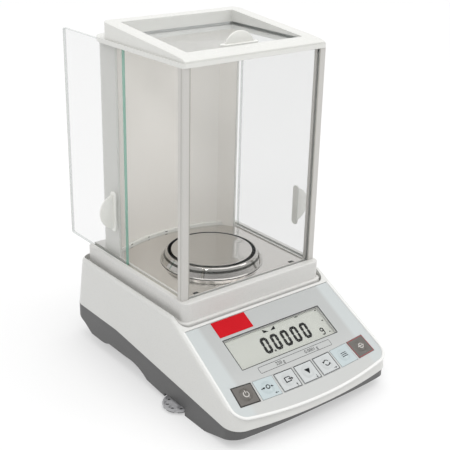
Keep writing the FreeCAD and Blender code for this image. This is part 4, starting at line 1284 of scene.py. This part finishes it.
@dataclass
class Grip:
    """Door grip: a rounded bar on the glass with a half-moon fin across it."""

    node: str
    body: str
    out: Vector
    bar_thick: float = 2.0 * MM
    fin_radius: float = 20.0 * MM
    fin_thick: float = 2.2 * MM

    def build(self, finishes: Finishes) -> None:
        """Model the grip in its CAD node's box.

        Args:
            finishes: The balance's materials.
        """
        low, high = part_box(self.node)
        axis = max(range(3), key=lambda i: abs(self.out[i]))
        ahead = self.out[axis] > 0
        bar_low, bar_high = low.copy(), high.copy()
        if ahead:
            bar_high[axis] = low[axis] + self.bar_thick
        else:
            bar_low[axis] = high[axis] - self.bar_thick
        bar = block(self.node + "_grip", bar_low, bar_high)
        narrow = (bar_high - bar_low)[1] / 2
        bevelled(bar, narrow * 0.92, 10, lambda a, b: abs(a[axis] - b[axis]) > 1e-6)
        bevelled(bar, 0.6 * MM, 3)
        tip = high[axis] if ahead else low[axis]
        centre = (low + high) / 2
        centre[axis] = tip - self.fin_radius * self.out[axis]
        fin = drum("fin", centre, self.fin_radius, self.fin_thick, 96, (math.pi / 2, 0, 0))
        face = centre.copy()
        face[axis] = (bar_high[axis] if ahead else bar_low[axis]) - 0.4 * MM * self.out[axis]
        with editing(fin, "FACE", "SELECT"):
            bpy.ops.mesh.bisect(plane_co=face, plane_no=self.out, use_fill=True,
                                clear_inner=True)
        bevelled(fin, 0.8 * MM, 4)
        grip = combined(bar, fin, "UNION")
        fitted(grip, self.body, finishes.grip, "shield_plastic", self.node)


@dataclass
class DraftShield:
    """Glass cage: frames, posts, panes, grips and the column."""

    lip_radius: float = 170.0 * MM
    lip_apex: float = 106.0 * MM
    lip_wide: float = 3.6 * MM
    lip_tall: float = 3.7 * MM
    dash_wide: float = 0.25 * MM
    dash_tall: float = 0.7 * MM
    dashes: tuple[tuple[float, float], ...] = (
        (20.5, 1.6), (18.0, 1.5), (15.8, 1.4), (12.6, 2.0), (7.5, 1.6), (5.0, 1.4),
        (-1.5, 1.8), (-4.2, 1.5), (-7.8, 1.3))
    panes: tuple[GlassPane, ...] = (
        GlassPane("front_glass", "housing"),
        GlassPane("left_door_glass", "left_door", corner=2.5 * MM,
                  green_edge=Vector((0, -1, 0))),
        GlassPane("right_door_glass", "right_door", corner=2.5 * MM),
        GlassPane("top_door_glass", "top_door"),
    )

    def wall_lip(self, finishes: Finishes) -> None:
        """White lip along the foot of the curved wall, with its dark dashes."""
        low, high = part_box("curved_wall")
        centre = Vector((0, self.lip_apex - self.lip_radius, low.z + 2.0 * MM))
        ends = math.degrees(math.asin((high.x - 0.5 * MM) / self.lip_radius))
        strip = arc("wall_lip", centre, self.lip_radius - 1.7 * MM, self.lip_wide, 90 - ends,
                    2 * ends)
        dashes = []
        for start, sweep in self.dashes:
            dashes.append(arc("dash", centre + mm(0, 0, 0.75), self.lip_radius - 3.55 * MM,
                              self.dash_wide, 90 + start, sweep))
        print_line = joined("wall_lip_dashes", dashes)
        for piece, tall, finish in ((strip, self.lip_tall, finishes.grip),
                                    (print_line, self.dash_tall, finishes.line)):
            thickened(piece, tall)
            with editing(piece, "FACE", "SELECT"):
                bpy.ops.mesh.normals_make_consistent(inside=False)
            fitted(piece, "housing", finish, "shield_plastic")

    def seals(self, finishes: Finishes) -> None:
        """Thin seals between the front pane and its posts."""
        for side, node in ((-1, "left_post"), (1, "right_post")):
            low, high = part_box(node)
            inner = high.x if side < 0 else low.x
            spots = [(Vector((inner - side * 0.1 * MM, low.y - 0.15 * MM, low.z)),
                      Vector((inner + side * 0.8 * MM, low.y + 0.2 * MM, high.z)))]
            outer = low.x if side < 0 else high.x
            spots.append((Vector((outer + side * 0.12 * MM, low.y + 2.2 * MM, low.z)),
                          Vector((outer - side * 0.2 * MM, low.y + 2.9 * MM, high.z))))
            strips = []
            for first, second in spots:
                corner = Vector(min(a, b) for a, b in zip(first, second))
                other = Vector(max(a, b) for a, b in zip(first, second))
                strips.append(bevelled(block("strip", corner, other), 0.06 * MM, 2))
            fitted(joined(node + "_seal", strips), "housing", finishes.seal, "shield_plastic")

    def build(self, finishes: Finishes) -> None:
        """Dress the frames and model the panes and grips.

        Args:
            finishes: The balance's materials.
        """
        dress(finishes.shield, "top_frame", "top_bezel", "column_cover")
        # The posts: a greyer copy of the frames' plastic, painted shade.
        dress(finishes.post, "left_post", "right_post")
        # The cage's foot: a darker copy of the frames' plastic, painted shade.
        dress(finishes.shield_foot_painted_shade, "shield_base")
        dress(finishes.wall, "curved_wall")
        dress(finishes.nylon, "glide_strips")
        self.wall_lip(finishes)
        self.seals(finishes)
        for pane in self.panes:
            pane.build(finishes)
        Grip("left_door_handle", "left_door", Vector((-1, 0, 0))).build(finishes)
        Grip("right_door_handle", "right_door", Vector((1, 0, 0))).build(finishes)
        Grip("top_door_handle", "top_door", Vector((0, 0, 1))).build(finishes)


# --------------------------------------------------------------- weighing pan

@dataclass
class WeighingStage:
    """Pan, draft ring and floor plate of the chamber."""

    pan_radius: float = 45.0 * MM
    pan_thick: float = 1.2 * MM
    pan_dish: float = 0.08 * MM
    hub_radius: float = 9.0 * MM
    bore_radius: float = 3.1 * MM
    bore_depth: float = 11.0 * MM
    ring_inner: float = 48.2 * MM
    ring_top: float = 50.6 * MM
    ring_foot: float = 57.0 * MM
    notch_x: float = 65.6 * MM
    notch_back: float = 4.4 * MM
    notch_half: Point = (3.0, 1.8, 0.08)
    cone_low: float = 1.3 * MM
    cone: float = 4.7 / 8.4
    painted_reflection_band: tuple[float, float] = (4.4 * MM, 6.8 * MM)

    def pan(self, finishes: Finishes) -> None:
        """Turned pan with a rolled edge on its hub."""
        low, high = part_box("weighing_pan")
        centre = Vector(((low.x + high.x) / 2, (low.y + high.y) / 2, 0))
        top, under = high.z, high.z - self.pan_thick
        edge, hub, bore = self.pan_radius, self.hub_radius, self.bore_radius
        face = top - self.pan_dish
        profile = [(bore, low.z + self.bore_depth), (bore, low.z), (hub, low.z),
                   (hub, under - 5.0 * MM), (hub + 3.0 * MM, under - 2.0 * MM),
                   (hub + 9.0 * MM, under), (edge - 0.8 * MM, under),
                   (edge - 0.25 * MM, under + 0.1 * MM), (edge, under + 0.4 * MM),
                   (edge, top - 0.4 * MM), (edge - 0.15 * MM, top - 0.12 * MM),
                   (edge - 0.5 * MM, top), (edge - 1.6 * MM, top), (edge - 2.0 * MM, face),
                   (edge - 12 * MM, face), (6.0 * MM, face), (0.4 * MM, face)]
        piece = lathe("pan_turned", centre, profile, 160)
        fitted(piece, "pan", finishes.pan, "satin_stainless", "weighing_pan")

    def ring(self, finishes: Finishes) -> None:
        """Conical ring with a lip at its foot and a rolled top."""
        low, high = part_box("draft_ring")
        centre = Vector(((low.x + high.x) / 2, (low.y + high.y) / 2, 0))
        foot, top = low.z, high.z
        inner, outer, crest = self.ring_inner, self.ring_foot, self.ring_top
        start = foot + self.cone_low
        profile = [(inner, foot), (outer, foot),
                   (outer, foot + 0.5 * MM), (outer - 0.4 * MM, foot + 0.9 * MM),
                   (outer - 1.2 * MM, start),
                   *((outer - 1.2 * MM - rise * self.cone, start + rise)
                     for rise in self.painted_reflection_band),
                   (crest + 0.5 * MM, top - 1.4 * MM), (crest, top - 0.6 * MM),
                   (crest - 0.7 * MM, top - 0.12 * MM), (inner + 0.9 * MM, top),
                   (inner + 0.3 * MM, top - 0.2 * MM), (inner, top - 0.8 * MM)]
        piece = lathe("draft_ring_turned", centre, profile, 160, shut=True)
        for finish in (finishes.ring, finishes.black, finishes.ring_painted_reflection):
            piece.data.materials.append(finish)
        for face in piece.data.polygons:
            spot = face.center - centre
            # The ring's inner wall and a thin line round its foot are dressed black: painted shade
            # in the gap round the pan and along the ring's foot.
            inner_wall_painted_shade = face.normal.x * spot.x + face.normal.y * spot.y < -0.3 * spot.xy.length
            line = spot.z < foot + 0.6 * MM and face.normal.z < 0.3
            rise = spot.z - start
            # A band of the outer cone is dressed in dark steel: a painted reflection of the gap
            # round the pan.
            if not inner_wall_painted_shade and self.painted_reflection_band[0] < rise < self.painted_reflection_band[1]:
                face.material_index = 2
            else:
                face.material_index = 1 if inner_wall_painted_shade or line else 0
        fitted(piece, "ring", finishes.ring, "polished_stainless", "draft_ring")

    def notches(self, finishes: Finishes) -> None:
        """Thin black pads on the floor plate that mark its finger notches: painted shade in place
        of the notches.
        """
        low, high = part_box("floor_plate")
        pads = []
        for side in (-1, 1):
            spot = Vector((side * self.notch_x, low.y + self.notch_back, high.z + 0.03 * MM))
            half = mm(*self.notch_half)
            pads.append(bevelled(block("pad", spot - half, spot + half), 0.04 * MM, 2))
        # The pads are painted shade where the notches would show the dark below the plate.
        fitted(joined("floor_plate_notch_painted_shade", pads), "floor", finishes.black, "black_plastic")

    def build(self, finishes: Finishes) -> None:
        """Model the pan and ring, and dress the rest.

        Args:
            finishes: The balance's materials.
        """
        self.pan(finishes)
        self.ring(finishes)
        self.notches(finishes)
        dress(finishes.plate, "floor_plate")
        dress(finishes.black, "dust_collar")


# --------------------------------------------------------------------- casing

@dataclass
class LevellingFoot:
    """Foot with a scalloped knob on its threaded stem."""

    side: str
    knob_radius: float = 17.0 * MM
    knob_thick: float = 4.0 * MM
    stem_radius: float = 3.0 * MM
    scallops: int = 8
    notch_radius: float = 2.6 * MM
    notch_out: float = 1.4 * MM
    pocket_radius: float = 4.0 * MM
    pocket_reach: float = 11.7 * MM
    pocket_rise: float = 1.3 * MM

    def build(self, finishes: Finishes) -> None:
        """Model the knob with its scallops and pockets.

        Args:
            finishes: The balance's materials.
        """
        node = self.side + "_foot_wheel"
        low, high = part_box(node)
        centre = Vector(((low.x + high.x) / 2, (low.y + high.y) / 2, 0))
        foot = low.z
        rim = foot + self.knob_thick
        wide, stem = self.knob_radius, self.stem_radius
        profile = [(wide - 2.0 * MM, foot), (wide - 0.4 * MM, foot + 0.5 * MM),
                   (wide, foot + 1.4 * MM), (wide, rim - 1.2 * MM),
                   (wide - 0.5 * MM, rim - 0.3 * MM), (wide - 1.6 * MM, rim),
                   (8.6 * MM, rim), (7.4 * MM, rim + 0.4 * MM), (3.6 * MM, rim + 0.5 * MM),
                   (stem, rim + 0.9 * MM), (stem, high.z - 0.8 * MM), (2.3 * MM, high.z)]
        knob = lathe(node + "_knob", centre, profile, 96)
        for number in range(self.scallops):
            angle = 2 * math.pi * number / self.scallops
            ahead = Vector((math.cos(angle), math.sin(angle), 0))
            notch = drum("notch", centre + ahead * (wide + self.notch_out)
                         + Vector((0, 0, rim - 2 * MM)), self.notch_radius, 8 * MM, 24)
            combined(knob, notch, "DIFFERENCE")
            half = angle + math.pi / self.scallops
            ahead = Vector((math.cos(half), math.sin(half), 0))
            bpy.ops.mesh.primitive_uv_sphere_add(
                segments=24, ring_count=14, radius=self.pocket_radius,
                location=centre + ahead * self.pocket_reach
                + Vector((0, 0, rim + self.pocket_rise)))
            combined(knob, named("pocket"), "DIFFERENCE")
        knob.data.materials.append(finishes.knob)
        knob.data.materials.append(finishes.rubber)
        # The knob's lower side and the floors of its pockets are dressed in the dark rubber:
        # painted shade under the balance and in the hollows.
        for face in knob.data.polygons:
            reach = (face.center - centre).xy.length
            pocket_floor_painted_shade = face.center.z < rim - 2.5 * MM and reach < wide - 1.2 * MM
            side = face.center.z < rim - 2.2 * MM
            face.material_index = 1 if pocket_floor_painted_shade or side else 0
        fitted(knob, self.side + "_wheel", finishes.knob, "foot_metal", node)
        dress(finishes.rubber, self.side + "_foot_pad")


@dataclass
class Casing:
    """Upper and lower casing, feet, rear sockets and screws."""

    pin_radius: float = 0.5 * MM
    pin_pitch: float = 2.77 * MM
    pin_row: float = 2.84 * MM
    insert_half: Point = (7.4, 0.2, 3.1)
    plate_half: Point = (26.0, 0.25, 9.0)
    plate_x: float = -5.0 * MM
    plate_z: float = 62.0 * MM
    rear_foot_y: float = 140.8 * MM
    rear_draft: float = math.radians(4)

    def port_pins(self, finishes: Finishes) -> None:
        """Nine pins of the data port, in rows of five and four."""
        low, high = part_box("data_port")
        middle = (low + high) / 2
        pins = []
        for row, count in ((0.5, 5), (-0.5, 4)):
            for number in range(count):
                x = middle.x + (number - (count - 1) / 2) * self.pin_pitch
                spot = Vector((x, high.y + 0.2 * MM, middle.z + row * self.pin_row))
                pin = drum("pin", spot, self.pin_radius, 1.0 * MM, 12, (math.pi / 2, 0, 0))
                pins.append(bevelled(pin, 0.15 * MM, 2))
        spot = Vector((middle.x, high.y - 0.1 * MM, middle.z))
        half = mm(*self.insert_half)
        insert = block("insert", spot - half, spot + half)
        bevelled(insert, 1.6 * MM, 4, lambda a, b: abs(a.y - b.y) > 1e-6)
        fitted(insert, "housing", finishes.black, "black_plastic")
        fitted(joined("data_port_pins", pins), "housing", finishes.brass, "insert_brass")

    def jack_pin(self, finishes: Finishes) -> None:
        """Centre contact of the power inlet."""
        low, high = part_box("power_inlet")
        middle = (low + high) / 2
        spot = Vector((middle.x, low.y + 7.0 * MM, middle.z))
        pin = drum("power_inlet_contact", spot, 1.0 * MM, 8.0 * MM, 24, (math.pi / 2, 0, 0))
        fitted(bevelled(pin, 0.4 * MM, 3), "housing", finishes.port, "port_steel")

    def rating_plate(self, finishes: Finishes) -> None:
        """Blank plate between the rear sockets, laid on the sloping rear wall."""
        half = mm(*self.plate_half)
        plate = block("rating_plate", -half, half)
        bevelled(plate, 2.0 * MM, 4, lambda a, b: abs(a.y - b.y) > 1e-6)
        bevelled(plate, 0.15 * MM, 2)
        rear = self.rear_foot_y - self.plate_z * math.tan(self.rear_draft) + 0.1 * MM
        lean = Matrix.Rotation(self.rear_draft, 4, "X")
        moved(plate, Matrix.Translation((self.plate_x, rear, self.plate_z)) @ lean)
        fitted(plate, "housing", finishes.paper, "port_steel")

    def build(self, finishes: Finishes) -> None:
        """Dress the casing and model its small pieces.

        Args:
            finishes: The balance's materials.
        """
        dress(finishes.casing, "top_casing")
        dress(finishes.base, "base_pan")
        dress(finishes.rubber, "rear_feet")
        dress(finishes.brass, "foot_inserts")
        dress(finishes.zinc, "casing_screws")
        dress(finishes.black, "power_inlet", "level_cup")
        dress(finishes.vial, "level_vial")
        dress(finishes.port, "data_port")
        for side in ("left", "right"):
            LevellingFoot(side).build(finishes)
        self.port_pins(finishes)
        self.jack_pin(finishes)
        self.rating_plate(finishes)


@dataclass
class Insides:
    """Weighing cell and boards, which show only when the casing is off."""

    def build(self, finishes: Finishes) -> None:
        """Dress the inner CAD nodes.

        Args:
            finishes: The balance's materials.
        """
        dress(finishes.aluminium, "cell_frame", "balance_beam", "pan_carrier")
        dress(finishes.spring, "guide_flexures", "pivot_flexures")
        dress(finishes.copper, "force_coil")
        dress(finishes.iron, "magnet_pot")
        dress(finishes.black, "position_sensor", "board_components", "key_switches")
        dress(finishes.board, "main_board", "front_board")
        dress(finishes.brass, "board_pillars")


# --------------------------------------------------------------------- studio

@dataclass
class Studio:
    """White floor, soft surroundings and the camera."""

    azimuth: float = -38.79
    elevation: float = 22.42
    roll: float = 1.27
    lens: float = 73.7
    distance: float = 0.9918
    target: Vector = field(default_factory=lambda: mm(0.33, -8.37, 159.1))
    bright_from: Point = (0.58, 0.72, 0.38)
    dim: float = 0.5
    bright: float = 1.2
    sun_strength: float = 1.25
    sun_spread: float = 70.0
    sun_lean: Point = (14.0, 8.0, 0.0)
    floor_glow: float = 0.45
    softboxes: tuple[tuple[str, Point, float, float], ...] = (
        ("left_softbox", (-1.3, -0.9, 1.5), 0.4, 6.0),
        ("right_softbox", (1.5, -1.1, 1.3), 0.5, 4.0))

    def floor(self) -> None:
        """Pale floor that runs out of view."""
        bpy.ops.mesh.primitive_plane_add(size=60, location=(0, 0, 0))
        floor = named("studio_floor")
        # Matt paper sweep: plain white with only a faint shadow, and no reflection.
        material, tree = blank("matt_white_floor")
        surface(tree, {"Base Color": linear("#B8B8B8"), "Roughness": 0.9,
                       "Specular IOR Level": 0.0, "Emission Color": (1, 1, 1, 1),
                       "Emission Strength": self.floor_glow}, {})
        floor.data.materials.append(material)

    def surroundings(self) -> None:
        """World that is brightest above and behind the balance."""
        world = bpy.data.worlds.new("studio")
        bpy.context.scene.world = world
        world.use_nodes = True
        tree = world.node_tree
        tree.nodes.clear()
        way = add_node(tree, "TexCoord").outputs["Generated"]
        dot = add_node(tree, "VectorMath", {"operation": "DOT_PRODUCT",
                                            1: Vector(self.bright_from).normalized()}, {0: way})
        level = add_node(tree, "MapRange", {"From Min": -0.9, "From Max": 0.9,
                                            "To Min": self.dim, "To Max": self.bright},
                         {"Value": dot.outputs["Value"]})
        light = add_node(tree, "Background", links={"Strength": level.outputs[0]})
        add_node(tree, "OutputWorld", links={"Surface": light.outputs[0]})

    def sun(self) -> None:
        """Wide soft light from above."""
        bpy.ops.object.light_add(type="SUN", location=(0, 0, 2))
        lamp = bpy.context.object
        lamp.name = "overhead_softbox"
        lamp.data.energy = self.sun_strength
        lamp.data.angle = math.radians(self.sun_spread)
        lamp.rotation_euler = [math.radians(angle) for angle in self.sun_lean]

    def softbox(self, name: str, spot: Point, size: float, power: float) -> None:
        """Square area light aimed at the balance.

        Args:
            name: Name of the light.
            spot: Its place in metres.
            size: Length of its side.
            power: Its power in watts.
        """
        bpy.ops.object.light_add(type="AREA", location=spot)
        lamp = bpy.context.object
        lamp.name = name
        lamp.data.shape = "SQUARE"
        lamp.data.size = size
        lamp.data.energy = power
        way = self.target - Vector(spot)
        lamp.rotation_mode = "QUATERNION"
        lamp.rotation_quaternion = way.to_track_quat("-Z", "Y")

    def camera(self) -> None:
        """Camera on the object's three-quarter view."""
        turn, rise = math.radians(self.azimuth), math.radians(self.elevation)
        back = Vector((math.sin(turn) * math.cos(rise), -math.cos(turn) * math.cos(rise),
                       math.sin(rise)))
        bpy.ops.object.camera_add(location=self.target + back * self.distance)
        camera = bpy.context.object
        camera.rotation_mode = "QUATERNION"
        aim = (-back).to_track_quat("-Z", "Y")
        camera.rotation_quaternion = aim @ Matrix.Rotation(math.radians(self.roll), 3,
                                                           "Z").to_quaternion()
        camera.data.lens = self.lens
        camera.data.sensor_width = 36
        bpy.context.scene.camera = camera

    def build(self) -> None:
        """Set the studio up."""
        bpy.context.scene.view_settings.view_transform = "Standard"
        self.floor()
        self.surroundings()
        self.sun()
        for name, spot, size, power in self.softboxes:
            self.softbox(name, spot, size, power)
        self.camera()


def main() -> None:
    """Build every sub-assembly in order."""
    logging.basicConfig(level=logging.INFO, format="%(message)s")
    Studio().build()
    low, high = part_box("weighing_pan")
    finishes = Finishes((low + high) / 2)
    Casing().build(finishes)
    Insides().build(finishes)
    DraftShield().build(finishes)
    WeighingStage().build(finishes)
    Keypad(SlopedPanel()).build(finishes)


if __name__ == "__main__":
    main()
